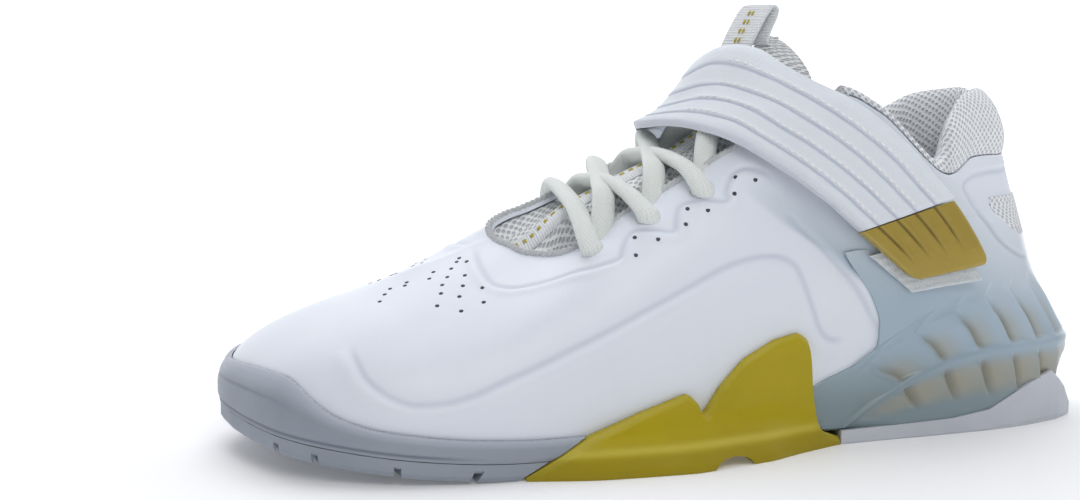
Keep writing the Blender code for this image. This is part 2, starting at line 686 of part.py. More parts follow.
def make_insole():
    """Sock liner on the bed, inside the upper's wall."""
    stations = station_grid(0, STATIONS)
    walls = []
    for side in (1, -1):
        theta = theta_of(stations, side)
        low = wall(theta, bed(theta), -(UPPER_WALL + 3 * GAP))
        low[:, 2] += GAP
        high = wall(theta, low[:, 2] + INSOLE_THICKNESS, -(1.4 * UPPER_WALL + 3 * GAP))
        walls.append(np.stack([low, high], 1))
    lids = [np.repeat(w[:, -1:], 2, 1) for w in walls]
    return trough("insole", walls, lids, FOAM, cross=3)


# Pieces that lie on or under others

# Axis inside the shoe that covers are measured from: x as a share of SHOE_LENGTH, z as a
# share of COLLAR_HEIGHT; it runs at AXIS_SIDE, a share of BALL_WIDTH
AXIS = ((0.0, 0.50), (0.42, 0.50), (0.72, 0.24))
AXIS_SIDE = -0.028
FAR = 0.090
REST = 0.0007


def axis_at(points):
    """Points of the axis level with the given ones."""
    x = points[..., 0]
    height = np.interp(x / SHOE_LENGTH, *np.array(AXIS).T) * COLLAR_HEIGHT
    return np.stack([x, np.full(x.shape, AXIS_SIDE * BALL_WIDTH), height], -1)


def surface_of(things):
    """Search trees of finished pieces, cutters applied."""
    bpy.context.view_layer.update()
    graph = bpy.context.evaluated_depsgraph_get()
    return [BVHTree.FromObject(thing, graph) for thing in things]


def settle(points, trees, clearance, outside=True, spread=2, ease=0):
    """Move points along rays from the shoe's axis until they clear the given pieces.

    Outside, a ray comes in from far away and the point stays beyond the first hit;
    inside, the ray leaves the axis and the point stays short of it. Each point also
    heeds the hits within spread grid steps, so that the faces between points clear too.
    ease rounds out what was pushed, as a taut sheet would bridge it.
    """
    points = np.array(points, float)
    fine = points
    for axis in range(points.ndim - 1):
        fine = halved(fine, axis)
    centre = axis_at(fine)
    radius = np.linalg.norm(fine - centre, axis=-1)
    way = (fine - centre) / radius[..., None]
    limit = np.full(radius.shape, -np.inf if outside else np.inf)
    for index in np.ndindex(radius.shape):
        middle = Vector(centre[index] - (HEEL_CENTRE, 0, 0))
        ray = Vector(way[index])
        for tree in trees:
            start = middle + ray * FAR if outside else middle
            hit = tree.ray_cast(start, -ray if outside else ray, FAR)
            if hit[3] is None:
                continue
            found = FAR - hit[3] if outside else hit[3]
            limit[index] = max(limit[index], found) if outside else min(limit[index], found)
    pick = np.maximum if outside else np.minimum
    for axis in range(limit.ndim):
        for _ in range(spread):
            limit = pick(limit, pick(*neighbours(limit, axis)))
    coarse = (slice(None, None, 2),) * limit.ndim
    limit, centre, way = limit[coarse], centre[coarse], way[coarse]
    limit = limit + clearance if outside else limit - clearance
    radius = free = pick(radius[coarse], limit)
    for _ in range(ease):
        for axis in range(limit.ndim):
            ahead, behind = neighbours(radius, axis)
            radius = pick(pick(free, limit), (ahead + behind) / 2)
    return centre + way * radius[..., None]


def halved(points, axis):
    """The grid with a point added halfway along each step of an axis."""
    points = np.moveaxis(points, axis, 0)
    both = np.empty((2 * len(points) - 1, *points.shape[1:]))
    both[::2] = points
    both[1::2] = (points[1:] + points[:-1]) / 2
    return np.moveaxis(both, 0, axis)


def neighbours(values, axis):
    """The next and the previous value along an axis, ends repeated."""
    count = values.shape[axis]
    index = np.arange(count)
    return (values.take(np.minimum(index + 1, count - 1), axis),
            values.take(np.maximum(index - 1, 0), axis))


def curve(points, at):
    """Catmull-Rom curve through points, read at shares 0..1 of its whole run."""
    points = np.asarray(points, float)
    run = np.asarray(at, float) * (len(points) - 1)
    base = np.clip(np.floor(run).astype(int), 0, len(points) - 2)
    f = (run - base)[:, None] if points.ndim == 2 else (run - base)[:, None, None]
    padded = np.concatenate([2 * points[:1] - points[1:2], points, 2 * points[-1:] - points[-2:-1]])
    p0, p1, p2, p3 = (padded[base + k] for k in range(4))
    return 0.5 * (2 * p1 + (p2 - p0) * f + (2 * p0 - 5 * p1 + 4 * p2 - p3) * f ** 2
                  + (3 * p1 - p0 - 3 * p2 + p3) * f ** 3)


def grid_normal(points):
    """Unit normals of a grid, pointing away from the shoe's axis."""
    normal = np.cross(np.gradient(points, axis=0), np.gradient(points, axis=1))
    normal /= np.linalg.norm(normal, axis=-1, keepdims=True)
    centre = axis_at(points)
    return normal * np.sign(((points - centre) * normal).sum(-1, keepdims=True))


def slab(name, inner, outer, finish):
    """Solid between two grids of equal size."""
    piece = Skin()
    piece.grid(inner)
    piece.grid(outer)
    for end in (0, -1):
        piece.grid(np.stack([inner[end], outer[end]], 0))
        piece.grid(np.stack([inner[:, end], outer[:, end]], 0))
    return piece.build(name, finish)


# Collar lining. station, rise above the collar edge as a share of HEEL_PAD_RISE, pad as a
# share of COLLAR_PAD, forward lean of the top as a share of COLLAR_PAD
LINING = (
    (0.000, 0.93, 1.25, 0.75), (0.333, 0.97, 1.25, 0.72), (0.667, 1.00, 1.25, 0.60),
    (1.000, 1.02, 1.20, 0.45), (1.333, 1.00, 1.20, 0.32), (1.667, 0.96, 1.15, 0.22),
    (2.000, 0.92, 1.10, 0.14), (2.333, 0.90, 1.05, 0.07), (2.667, 0.83, 1.00, 0.0),
    (2.800, 0.68, 0.95, 0.0), (2.900, 0.28, 0.85, 0.0), (3.000, 0.17, 0.75, 0.0),
    (3.333, 0.15, 0.65, 0.0), (3.667, 0.15, 0.60, 0.0), (4.000, 0.15, 0.60, 0.0),
    (4.333, 0.15, 0.60, 0.0), (4.667, 0.14, 0.55, 0.0),
)
LINING_DEPTH = 0.0220


def make_lining():
    """Padded collar: a thin roll along both sides and a tall pad round the heel."""
    rows = np.array(LINING)
    sides = [(theta_of(rows[::-1, 0], 1), rows[::-1]), (theta_of(rows[1:, 0], -1), rows[1:])]
    theta = np.concatenate([side[0] for side in sides])
    rise, pad, lean = np.concatenate([side[1] for side in sides])[:, 1:].T
    rise, pad, lean = rise * HEEL_PAD_RISE, pad * COLLAR_PAD, lean * COLLAR_PAD
    edge = spline(OPENING_LOOP, theta)
    out = np.concatenate([plan_normal(theta), np.zeros((len(theta), 1))], -1)
    low = t_at_height(theta, edge[:, 2] - LINING_DEPTH)
    behind = UPPER_WALL + 2 * GAP

    def above(height, inward):
        point = edge - out * inward[:, None]
        point[:, 2] += height
        return point

    ring = [skin(theta, low, -behind), skin(theta, (low + 1) / 2, -behind),
            skin(theta, 1.0, -behind),
            above(rise * 0 + 2 * GAP, rise * 0 + behind),
            above(rise * 0 + 2 * GAP, rise * 0 + GAP),
            above(rise * 0.35, lean * 0.15),
            above(rise * 0.75, lean * 0.55 + 0.10 * pad),
            above(rise, lean + 0.42 * pad),
            above(rise * 0.90, lean + 0.80 * pad),
            above(rise * 0.55, lean * 0.6 + pad + 0.10 * COLLAR_PAD),
            above(rise * 0, pad + behind * 0.6),
            skin(theta, (low + 1) / 2, -(behind + 0.60 * pad)),
            skin(theta, low, -(behind + 0.0012))]
    ladder = ((0, 1, 2, 3, 4, 5, 6), (12, 11, 11, 10, 9, 8, 7))
    return loft("collar_lining", np.stack(ring, 1), MESH, ladder)


# Tongue. x as a share of SHOE_LENGTH, height of its outer face as a share of
# COLLAR_HEIGHT, then half width, drop of its edges and their sweep to the rear as shares
# of BALL_WIDTH, and thickness as a share of TONGUE_THICKNESS
TONGUE = (
    (0.686, 0.545, 0.130, 0.020, 0.00, 0.30),
    (0.660, 0.565, 0.165, 0.040, 0.00, 0.45),
    (0.627, 0.610, 0.195, 0.070, 0.00, 0.70),
    (0.593, 0.655, 0.213, 0.095, 0.00, 0.90),
    (0.560, 0.702, 0.222, 0.110, 0.00, 1.00),
    (0.527, 0.746, 0.227, 0.115, 0.00, 1.00),
    (0.493, 0.786, 0.227, 0.115, 0.00, 1.00),
    (0.463, 0.824, 0.227, 0.110, 0.00, 1.00),
    (0.436, 0.865, 0.215, 0.110, 0.03, 1.00),
    (0.412, 0.915, 0.200, 0.100, 0.07, 1.00),
    (0.396, 0.970, 0.182, 0.090, 0.11, 1.00),
    (0.385, 1.035, 0.170, 0.085, 0.15, 1.00),
    (0.366, 1.110, 0.157, 0.085, 0.17, 0.90),
    (0.343, 1.168, 0.120, 0.060, 0.13, 0.60),
)
TONGUE_MIDDLE = -0.028


def tongue_face(trees):
    """Outer face of the tongue, kept under the throat's edges."""
    x, z, half, drop, sweep, thick = np.array(TONGUE).T[:, :, None]
    v = np.linspace(-1, 1, 9)[None, :]
    face = np.stack([x * SHOE_LENGTH - sweep * BALL_WIDTH * v ** 2,
                     (TONGUE_MIDDLE + half * v) * BALL_WIDTH,
                     z * COLLAR_HEIGHT - drop * BALL_WIDTH * np.abs(v) ** 2.4], -1)
    return settle(face, trees, 2 * GAP, outside=False)


def make_tongue(trees):
    """Padded tongue, thin at its edges and its sewn front end."""
    face = tongue_face(trees)
    thick = np.array(TONGUE)[:, 5][:, None] * TONGUE_THICKNESS
    v = np.linspace(-1, 1, face.shape[1])[None, :]
    depth = thick * (0.25 + 0.75 * (1 - v ** 4))
    back = face - grid_normal(face) * depth[..., None]
    return slab("tongue", back, face, MESH)


# Pull loop: centre line, x as a share of SHOE_LENGTH, z as a share of COLLAR_HEIGHT
LOOP = ((0.3990, 1.0250), (0.3940, 1.0700), (0.3870, 1.1150), (0.3790, 1.1600), (0.3700, 1.2050),
        (0.3615, 1.2420), (0.3545, 1.2560), (0.3505, 1.2400), (0.3560, 1.2050), (0.3615, 1.1700),
        (0.3625, 1.1420))
LOOP_TURN = math.radians(30)


def make_loop(trees):
    """Folded webbing loop that stands on the tongue."""
    line = curve(LOOP, np.linspace(0, 1, 17)) * (SHOE_LENGTH, COLLAR_HEIGHT)
    middle = TONGUE_MIDDLE * BALL_WIDTH
    points = np.stack([line[:, 0], np.full(17, middle), line[:, 1]], -1)
    points[:6] = settle(points[:6], trees, REST + LOOP_THICKNESS / 2)
    tangent = np.gradient(points, axis=0)
    tangent /= np.linalg.norm(tangent, axis=-1, keepdims=True)
    width = np.array((-math.sin(LOOP_TURN), math.cos(LOOP_TURN), 0))
    normal = np.cross(tangent, width) * LOOP_THICKNESS / 2
    side = width * LOOP_WIDTH / 2
    rings = np.stack([points + normal + side, points - normal + side,
                      points - normal - side, points + normal - side], 1)
    return loft("pull_loop", rings, WEBBING)


# Strap, from its tip on the outer side over the instep to its root on the inner side.
# Lower edge x, y, z and upper edge x, y, z: x shares of SHOE_LENGTH, y of BALL_WIDTH, z of
# COLLAR_HEIGHT
STRAP = (
    (0.225, 0.315, 0.475, 0.135, 0.315, 0.512),
    (0.289, 0.318, 0.610, 0.176, 0.308, 0.690),
    (0.318, 0.298, 0.665, 0.202, 0.292, 0.755),
    (0.356, 0.272, 0.725, 0.233, 0.275, 0.825),
    (0.405, 0.225, 0.805, 0.281, 0.240, 0.920),
    (0.443, 0.140, 0.848, 0.330, 0.155, 1.020),
    (0.470, 0.035, 0.862, 0.380, 0.020, 1.078),
    (0.491, -0.070, 0.838, 0.418, -0.080, 1.078),
    (0.480, -0.180, 0.800, 0.400, -0.165, 1.040),
    (0.446, -0.250, 0.735, 0.362, -0.215, 0.970),
    (0.398, -0.280, 0.680, 0.312, -0.235, 0.895),
    (0.347, -0.285, 0.643, 0.257, -0.240, 0.830),
)
STRAP_TIP_SHARE = 1 / 11
STRAP_ROWS = (5, 20)


def strap_grids(trees):
    """Undersides of the end tab and of the strap, settled as one sheet."""
    edges = np.array(STRAP).reshape(-1, 2, 3) * (SHOE_LENGTH, BALL_WIDTH, COLLAR_HEIGHT)
    seam = GAP / 2 / (SHOE_LENGTH / 2)
    shares = np.concatenate([np.linspace(0, STRAP_TIP_SHARE - seam, STRAP_ROWS[0]),
                             np.linspace(STRAP_TIP_SHARE + seam, 1, STRAP_ROWS[1])])
    run = curve(edges, shares)
    w = np.linspace(0, 1, 9)[None, :, None]
    face = run[:, :1] * (1 - w) + run[:, 1:] * w
    centre = axis_at(face)
    depth = np.linalg.norm(face - centre, axis=-1, keepdims=True)
    under = settle(face - (face - centre) / depth * STRAP_THICKNESS, trees, REST, ease=6)
    return np.split(under, STRAP_ROWS[:1])


def make_strap(under):
    """Broad instep strap; its inner end is tucked against the quarter."""
    return slab("strap", under, under + grid_normal(under) * STRAP_THICKNESS, WHITE)


def make_strap_tip(under):
    """Gold end tab of the strap."""
    return slab("strap_tip", under, under + grid_normal(under) * TAB_THICKNESS, TAB)


# Hook tape under the tab: overhang past the tip and past the lower edge, shares of
# STRAP_WIDTH
HOOK_OVERHANG = (0.17, 0.10)


def make_hook(trees):
    """Pale hook tape, fixed to the quarter, that shows beyond the tab."""
    edges = np.array(STRAP[:2]).reshape(2, 2, 3) * (SHOE_LENGTH, BALL_WIDTH, COLLAR_HEIGHT)
    along = (edges[1] - edges[0]) / np.linalg.norm(edges[1] - edges[0], axis=-1)[:, None]
    across_tip = edges[0, 0] - edges[0, 1]
    across_tip /= np.linalg.norm(across_tip)
    past_tip, past_side = (share * STRAP_WIDTH for share in HOOK_OVERHANG)
    shift = across_tip * past_side
    start = edges[0] - along * past_tip + shift
    stop = start + (edges[1] - edges[0]) * 0.80
    w = np.linspace(0, 1, 7)[:, None, None]
    run = start * (1 - w) + stop * w
    v = np.linspace(0, 1, 7)[None, :, None]
    under = settle(run[:, :1] * (1 - v) + run[:, 1:] * v, trees, GAP)
    return slab("hook_tape", under, under + grid_normal(under) * HOOK_THICKNESS, WEBBING)


def tongue_slope(x):
    """How steeply the tongue climbs to the rear at x."""
    rows = np.array(TONGUE)[::-1]
    xs, zs = rows[:, 0] * SHOE_LENGTH, rows[:, 1] * COLLAR_HEIGHT
    return -np.interp(x, xs, np.gradient(zs, xs))


def strand(start, stop, lift, trees, sides=6, rows=10):
    """Closed rings of a flat oval cord between two points over the tongue."""
    w = np.linspace(0, 1, rows)[:, None]
    line = start * (1 - w) + stop * w
    slope = tongue_slope(line[:, 0])
    half = LACE_THICKNESS / 2 * np.sqrt(1 + slope ** 2)
    line = settle(line, trees, half + REST + lift, ease=2)
    tangent = np.gradient(line, axis=0)
    tangent /= np.linalg.norm(tangent, axis=-1, keepdims=True)
    up = line - axis_at(line)
    up /= np.linalg.norm(up, axis=-1, keepdims=True)
    up[:, 0] += slope
    up -= (up * tangent).sum(-1, keepdims=True) * tangent
    up /= np.linalg.norm(up, axis=-1, keepdims=True)
    side = np.cross(tangent, up)
    angle = np.arange(sides) / sides * math.tau
    return (line[:, None] + side[:, None] * np.cos(angle)[:, None] * LACE_WIDTH / 2
            + up[:, None] * np.sin(angle)[:, None] * LACE_THICKNESS / 2)


def eyelet_point(index, side):
    theta = theta_of(eyelet_station(EYELETS[index], side), side)
    return skin(theta, EYELET_T, LACE_THICKNESS / 2 + REST)


def edge_point(index, side):
    """Where a cord comes up from under the throat's edge, a width inside it."""
    theta = theta_of(eyelet_station(EYELETS[index], side), side)
    point = last(theta, 1.0)
    point[1] -= side * 0.8 * LACE_WIDTH
    return point


def make_laces(trees):
    """The straight bar, then a crossing between each pair of eyelets and the next."""
    bar = strand(eyelet_point(0, 1), eyelet_point(0, -1), 0.0, trees)
    laces = [loft("lace_1", bar, CORD)]
    final = len(EYELETS) - 1
    for k in range(final):
        stop = edge_point if k + 1 == final else eyelet_point
        cords = [loft(f"cord_{side}", strand(edge_point(k, -side), stop(k + 1, side), lift, trees),
                      CORD) for side, lift in ((1, 0.0), (-1, 0.0004))]
        laces.append(join(f"lace_{k + 2}", cords))
    return laces


def join(name, cords):
    """One solid from two cords that cross."""
    modifier = cords[0].modifiers.new("join", "BOOLEAN")
    modifier.operation = "UNION"
    modifier.solver = "EXACT"
    modifier.object = cords[1]
    graph = bpy.context.evaluated_depsgraph_get()
    mesh = bpy.data.meshes.new_from_object(cords[0].evaluated_get(graph))
    for cord in cords:
        bpy.data.objects.remove(cord, do_unlink=True)
    mesh.materials.clear()
    return finish_mesh(name, mesh, CORD)


def main():
    upper = make_upper()
    make_cupsole()
    make_tread()
    make_wrap()
    cage = make_cage()
    make_heel_plate()
    make_insole()
    lining = make_lining()
    tongue = make_tongue(surface_of([upper, lining]))
    laces = make_laces(surface_of([upper, lining, tongue]))
    loop = make_loop(surface_of([tongue]))
    hook = make_hook(surface_of([upper, cage]))
    tip, band = strap_grids(surface_of([upper, cage, lining, tongue, loop, hook] + laces))
    make_strap_tip(tip)
    make_strap(band)


main()
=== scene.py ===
"""Looks of a weightlifting shoe, left foot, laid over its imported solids.

Every surface is worked out with numpy from the shoe's own last: a loop of stations round
the foot (0 at the heel centre, 11 at the toe centre) and a share t that climbs from the
feather edge to the collar. Lengths are in metres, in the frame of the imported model.
"""

import logging
import math
from dataclasses import dataclass, field
from enum import Enum
from functools import cache

import bmesh
import bpy
import numpy as np
from mathutils import Matrix

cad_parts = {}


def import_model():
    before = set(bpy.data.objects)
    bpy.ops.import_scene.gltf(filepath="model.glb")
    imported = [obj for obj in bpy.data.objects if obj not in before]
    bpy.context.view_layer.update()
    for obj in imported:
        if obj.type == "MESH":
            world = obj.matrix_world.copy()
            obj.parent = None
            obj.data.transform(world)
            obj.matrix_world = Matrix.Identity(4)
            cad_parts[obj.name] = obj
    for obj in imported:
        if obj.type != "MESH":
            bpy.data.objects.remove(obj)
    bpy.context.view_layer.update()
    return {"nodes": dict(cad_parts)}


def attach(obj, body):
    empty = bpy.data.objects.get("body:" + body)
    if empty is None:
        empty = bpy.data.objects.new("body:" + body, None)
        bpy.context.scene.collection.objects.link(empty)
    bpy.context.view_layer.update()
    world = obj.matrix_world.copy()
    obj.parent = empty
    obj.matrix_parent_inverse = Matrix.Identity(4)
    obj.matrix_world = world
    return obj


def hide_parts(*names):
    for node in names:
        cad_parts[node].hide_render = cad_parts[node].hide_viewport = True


LOG = logging.getLogger("shoe")
LENGTH, WIDTH, HEIGHT = 0.300, 0.108, 0.115
HEEL_CENTRE = 0.045
STATIONS = 11
MM = 0.001
Numbers = np.ndarray | float


class Side(Enum):
    """The two sides of the foot."""

    OUTER = 1
    INNER = -1


class Pattern(Enum):
    """Surface pattern of a finish."""

    GRAIN = "leather grain"
    KNIT = "open knit"
    WEBBING = "ribbed webbing"
    BRAID = "braided cord"
    RUBBER = "moulded rubber"
    FUZZ = "brushed loops"


class Place(Enum):
    """Where a pattern takes its coordinates from."""

    OBJECT = "Object"
    MAP = "UV"


# Curves and tables

def blend(four: list, f: np.ndarray) -> np.ndarray:
    """Catmull-Rom value at share f of the span between the middle two of four values."""
    a, b, c, d = four
    return 0.5 * (2 * b + (c - a) * f + (2 * a - 5 * b + 4 * c - d) * f ** 2
                  + (3 * b - a - 3 * c + d) * f ** 3)


def spline(values: np.ndarray, theta: np.ndarray) -> np.ndarray:
    """Closed Catmull-Rom curve through values at whole stations.

    Args:
        values: one row for each whole station of the loop.
        theta: loop parameters to read.

    Returns:
        The curve's values at theta.
    """
    values, theta = np.asarray(values, float), np.asarray(theta, float)
    count = len(values)
    base = np.floor(theta).astype(int)
    f = theta - base
    f = f.reshape(f.shape + (1,) * (values.ndim - 1))
    return blend([values[(base + k) % count] for k in (-1, 0, 1, 2)], f)


def curve(points: np.ndarray, at: int | np.ndarray) -> np.ndarray:
    """Open Catmull-Rom curve through rows of points.

    Args:
        points: the rows it passes through.
        at: how many rows to read evenly, or the shares of the run to read.

    Returns:
        The rows along the curve.
    """
    points = np.asarray(points, float)
    shares = np.linspace(0, 1, at) if isinstance(at, int) else at
    run = shares * (len(points) - 1)
    base = np.clip(np.floor(run).astype(int), 0, len(points) - 2)
    f = (run - base).reshape((-1,) + (1,) * (points.ndim - 1))
    padded = np.concatenate([2 * points[:1] - points[1:2], points,
                             2 * points[-1:] - points[-2:-1]])
    return blend([padded[base + k] for k in range(4)], f)


def packed(points: tuple) -> np.ndarray:
    """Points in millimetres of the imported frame, as metres from the last's own rear."""
    return np.array(points) * MM + (HEEL_CENTRE, 0, 0)


def refine(grid: np.ndarray, rows: int, columns: int) -> np.ndarray:
    """A grid read finer along both axes, on Catmull-Rom curves."""
    return np.swapaxes(curve(np.swapaxes(curve(grid, rows), 0, 1), columns), 0, 1)


def gather(grid: np.ndarray, columns: np.ndarray) -> np.ndarray:
    """A grid read at fractional columns, row by row, with straight steps between them."""
    base = np.clip(columns.astype(int), 0, grid.shape[1] - 2)
    f = (columns - base)[..., None]
    row = np.arange(len(grid))[:, None]
    return grid[row, base] * (1 - f) + grid[row, base + 1] * f


def table(rows: tuple, at: np.ndarray, soft: float = 0.0) -> list[np.ndarray]:
    """Named columns of a short table, read at values of its first column.

    Args:
        rows: the table.
        at: values of the first column.
        soft: width of a Gaussian that rounds the corners, in the first column's unit.

    Returns:
        One array for each further column.
    """
    rows = np.asarray(rows, float)
    fine = np.linspace(rows[0, 0], rows[-1, 0], 700)
    out = []
    for k in range(1, rows.shape[1]):
        values = np.interp(fine, rows[:, 0], rows[:, k])
        if soft:
            reach = max(1, int(3 * soft / (fine[1] - fine[0])))
            kernel = np.exp(-0.5 * (np.arange(-reach, reach + 1) / reach * 3) ** 2)
            padded = np.pad(values, reach, "edge")
            values = np.convolve(padded, kernel / kernel.sum(), "valid")
        out.append(np.interp(at, fine, values))
    return out


def smooth(low: float, high: float, value: np.ndarray) -> np.ndarray:
    """Smooth step from 0 at low to 1 at high."""
    x = np.clip((np.asarray(value, float) - low) / (high - low), 0, 1)
    return x * x * (3 - 2 * x)


def bump(value: np.ndarray, width: float, centre: float = 0.0) -> np.ndarray:
    """Bell curve exp(-((value - centre) / width)^2)."""
    return np.exp(-((value - centre) / width) ** 2)


def rounding(distance: np.ndarray, radius: float) -> np.ndarray:
    """Drop of a quarter circle at a distance from an edge, as a share of its radius."""
    inside = 1 - np.clip(distance / radius, 0, 1)
    return 1 - np.sqrt(np.clip(1 - inside ** 2, 0, 1))


def icy_level(points: np.ndarray) -> np.ndarray:
    """Height by which the icy tone fades; it counts as higher towards the heel."""
    return points[..., 2] + 0.018 * smooth(0.065, 0.015, points[..., 0])


def unit(vectors: np.ndarray) -> np.ndarray:
    """Vectors scaled to length one."""
    return vectors / np.maximum(np.linalg.norm(vectors, axis=-1, keepdims=True), 1e-12)


def line_field(points: np.ndarray, normals: np.ndarray, line: tuple,
               steps: int = 4) -> tuple[np.ndarray, np.ndarray]:
    """Signed distance of surface points to a smooth line on that surface.

    Args:
        points: grid of points.
        normals: unit normals there.
        line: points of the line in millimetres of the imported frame.
        steps: curve steps for each step of the line.

    Returns:
        The distance in metres, positive on the line's right seen from outside, and the
        share of the line's run where it is nearest.
    """
    path = curve(packed(line), (len(line) - 1) * steps + 1)
    flat, n = points.reshape(-1, 3), normals.reshape(-1, 3)
    best = np.full(len(flat), 1.0)
    sign, share = np.ones(len(flat)), np.zeros(len(flat))
    for k, (a, b) in enumerate(zip(path[:-1], path[1:])):
        d = b - a
        w = np.clip((flat - a) @ d / max(d @ d, 1e-12), 0, 1)
        off = flat - a - w[:, None] * d
        dist = np.linalg.norm(off, axis=1)
        near = dist < best
        side = np.sign((off * np.cross(d, n)).sum(1))
        best, sign, share = (np.where(near, x, y) for x, y in
                             ((dist, best), (side, sign), ((k + w) / (len(path) - 1), share)))
    shape = points.shape[:-1]
    return (best * sign).reshape(shape), share.reshape(shape)


@dataclass
class Last:
    """The foot form that upper, sole and lining all follow.

    The tables have a row for each station. A column's side is a cubic arc with Bernstein
    weights in t: the foot, a point above it, a point out from the opening, the opening. A
    row of arc_rows gives both rises, the lean, both falls in degrees and the reach.
    """

    outline_rows: tuple = (
        (-0.017, 0.000, -0.017, 0.000), (0.010, 0.185, 0.010, -0.180),
        (0.080, 0.275, 0.080, -0.265), (0.173, 0.312, 0.173, -0.298),
        (0.280, 0.334, 0.287, -0.312), (0.400, 0.380, 0.413, -0.322),
        (0.517, 0.440, 0.540, -0.368), (0.633, 0.486, 0.667, -0.454),
        (0.740, 0.495, 0.777, -0.486), (0.840, 0.435, 0.873, -0.440),
        (0.923, 0.278, 0.943, -0.306), (0.972, -0.065, 0.972, -0.065))
    bed_shares: tuple = (1.0, 1.0, 1.0, 0.945, 0.83, 0.63, 0.48, 0.435, 0.43, 0.43, 0.43, 0.43)
    inset_shares: tuple = (3.2, 2.6, 1.6, 1.15, 1.0, 1.0, 1.0, 1.0, 1.0, 1.0, 1.0, 1.0)
    opening_rows: tuple = (
        (0.053, 0.000, 0.811, 0.053, 0.000, 0.811),
        (0.075, 0.116, 0.811, 0.075, -0.116, 0.811),
        (0.127, 0.204, 0.810, 0.127, -0.204, 0.813),
        (0.180, 0.282, 0.772, 0.187, -0.259, 0.790),
        (0.253, 0.259, 0.948, 0.267, -0.245, 0.957),
        (0.313, 0.206, 0.995, 0.325, -0.213, 1.000),
        (0.429, 0.185, 0.833, 0.447, -0.222, 0.857),
        (0.527, 0.167, 0.687, 0.550, -0.213, 0.735),
        (0.593, 0.148, 0.574, 0.613, -0.194, 0.668),
        (0.632, 0.079, 0.558, 0.643, -0.171, 0.645),
        (0.650, 0.018, 0.574, 0.663, -0.120, 0.622),
        (0.663, -0.056, 0.590, 0.663, -0.056, 0.590))
    arc_rows: tuple = (
        (0.200, 0.200, -0.02, 76, 76, 0.200), (0.200, 0.200, 0.02, 78, 78, 0.200),
        (0.200, 0.200, 0.08, 82, 82, 0.200), (0.190, 0.190, 0.08, 82, 82, 0.170),
        (0.240, 0.240, 0.08, 80, 80, 0.240), (0.290, 0.290, 0.10, 68, 70, 0.300),
        (0.270, 0.260, 0.10, 48, 52, 0.270), (0.230, 0.230, 0.10, 35, 37, 0.250),
        (0.200, 0.210, 0.08, 30, 34, 0.265), (0.195, 0.165, 0.05, 27, 35, 0.320),
        (0.210, 0.170, 0.02, 25, 32, 0.400), (0.215, 0.215, 0.00, 24, 24, 0.465))
    cup_wall: float = 0.003
    heel_bed: float = 0.027
    toe_spring: float = 0.0105
    spring_start: float = 0.198
    eyelets: tuple = (0.578, 0.517, 0.457)
    eyelet_t: float = 0.87
    halvings: int = 16

    def __post_init__(self) -> None:
        """Close each table of two sides into one loop."""
        def around(outer: np.ndarray, inner: np.ndarray) -> np.ndarray:
            """Rows of the outer side, then of the inner side from toe to heel."""
            return np.concatenate([outer, inner[-2:0:-1]])

        o, e, a = (np.array(rows, float) for rows in
                   (self.outline_rows, self.opening_rows, self.arc_rows))
        size = (LENGTH, WIDTH, HEIGHT)
        self.outline_loop = around(o[:, :2] * size[:2], o[:, 2:] * size[:2])
        self.opening_loop = around(e[:, :3] * size, e[:, 3:] * size)
        bed, inset = np.array(self.bed_shares), np.array(self.inset_shares)
        self.bed_loop = around(bed, bed) * self.heel_bed
        self.inset_loop = around(inset, inset) * self.cup_wall
        reach = a[:, 5] * HEIGHT
        outer, inner = (np.stack([a[:, k] * HEIGHT, a[:, 2], np.radians(a[:, k + 3]), reach], 1)
                        for k in (0, 1))
        self.arc_loop = around(outer, inner)

    def theta(self, station: np.ndarray, side: Side) -> np.ndarray:
        """Loop parameter of a station on one side."""
        station = np.asarray(station, float)
        return station if side is Side.OUTER else 2 * STATIONS - station

    def outline(self, theta: np.ndarray) -> np.ndarray:
        """Plan points of the sole's outline."""
        return spline(self.outline_loop, theta)

    def plan_normal(self, theta: np.ndarray) -> np.ndarray:
        """Unit normal of the outline in plan."""
        d = unit(self.outline(np.asarray(theta) + 0.02) - self.outline(np.asarray(theta) - 0.02))
        return np.stack([-d[..., 1], d[..., 0]], -1)

    def spring(self, x: np.ndarray) -> np.ndarray:
        """Rise of the sole's underside: a power of the run past the ball."""
        run = np.clip((x - self.spring_start) / (0.97 * LENGTH - self.spring_start), 0, None)
        return self.toe_spring * run ** 1.6

    def bed(self, theta: np.ndarray) -> np.ndarray:
        """Height of the bed under the foot."""
        return spline(self.bed_loop, theta) + self.spring(self.outline(theta)[..., 0])

    def inset(self, theta: np.ndarray) -> np.ndarray:
        """How far the feather lies inside the outline."""
        return spline(self.inset_loop, theta)

    def point(self, theta: Numbers, t: Numbers) -> np.ndarray:
        """Points of the foot form at loop parameters and shares t."""
        theta, t = np.broadcast_arrays(np.asarray(theta, float), np.asarray(t, float))
        n = self.plan_normal(theta)
        plan = self.outline(theta) - self.inset(theta)[..., None] * n
        foot = np.concatenate([plan, self.bed(theta)[..., None]], -1)
        edge = spline(self.opening_loop, theta)
        rise, lean, fall, reach = np.moveaxis(spline(self.arc_loop, theta), -1, 0)
        out = unit(foot[..., :2] - edge[..., :2] + 0.010 * n)
        first = foot + rise[..., None] * np.concatenate(
            [lean[..., None] * n, np.ones(theta.shape + (1,))], -1)
        second = edge + reach[..., None] * np.concatenate(
            [np.cos(fall)[..., None] * out, -np.sin(fall)[..., None]], -1)
        t = t[..., None]
        return ((1 - t) ** 3 * foot + 3 * t * (1 - t) ** 2 * first
                + 3 * t ** 2 * (1 - t) * second + t ** 3 * edge)

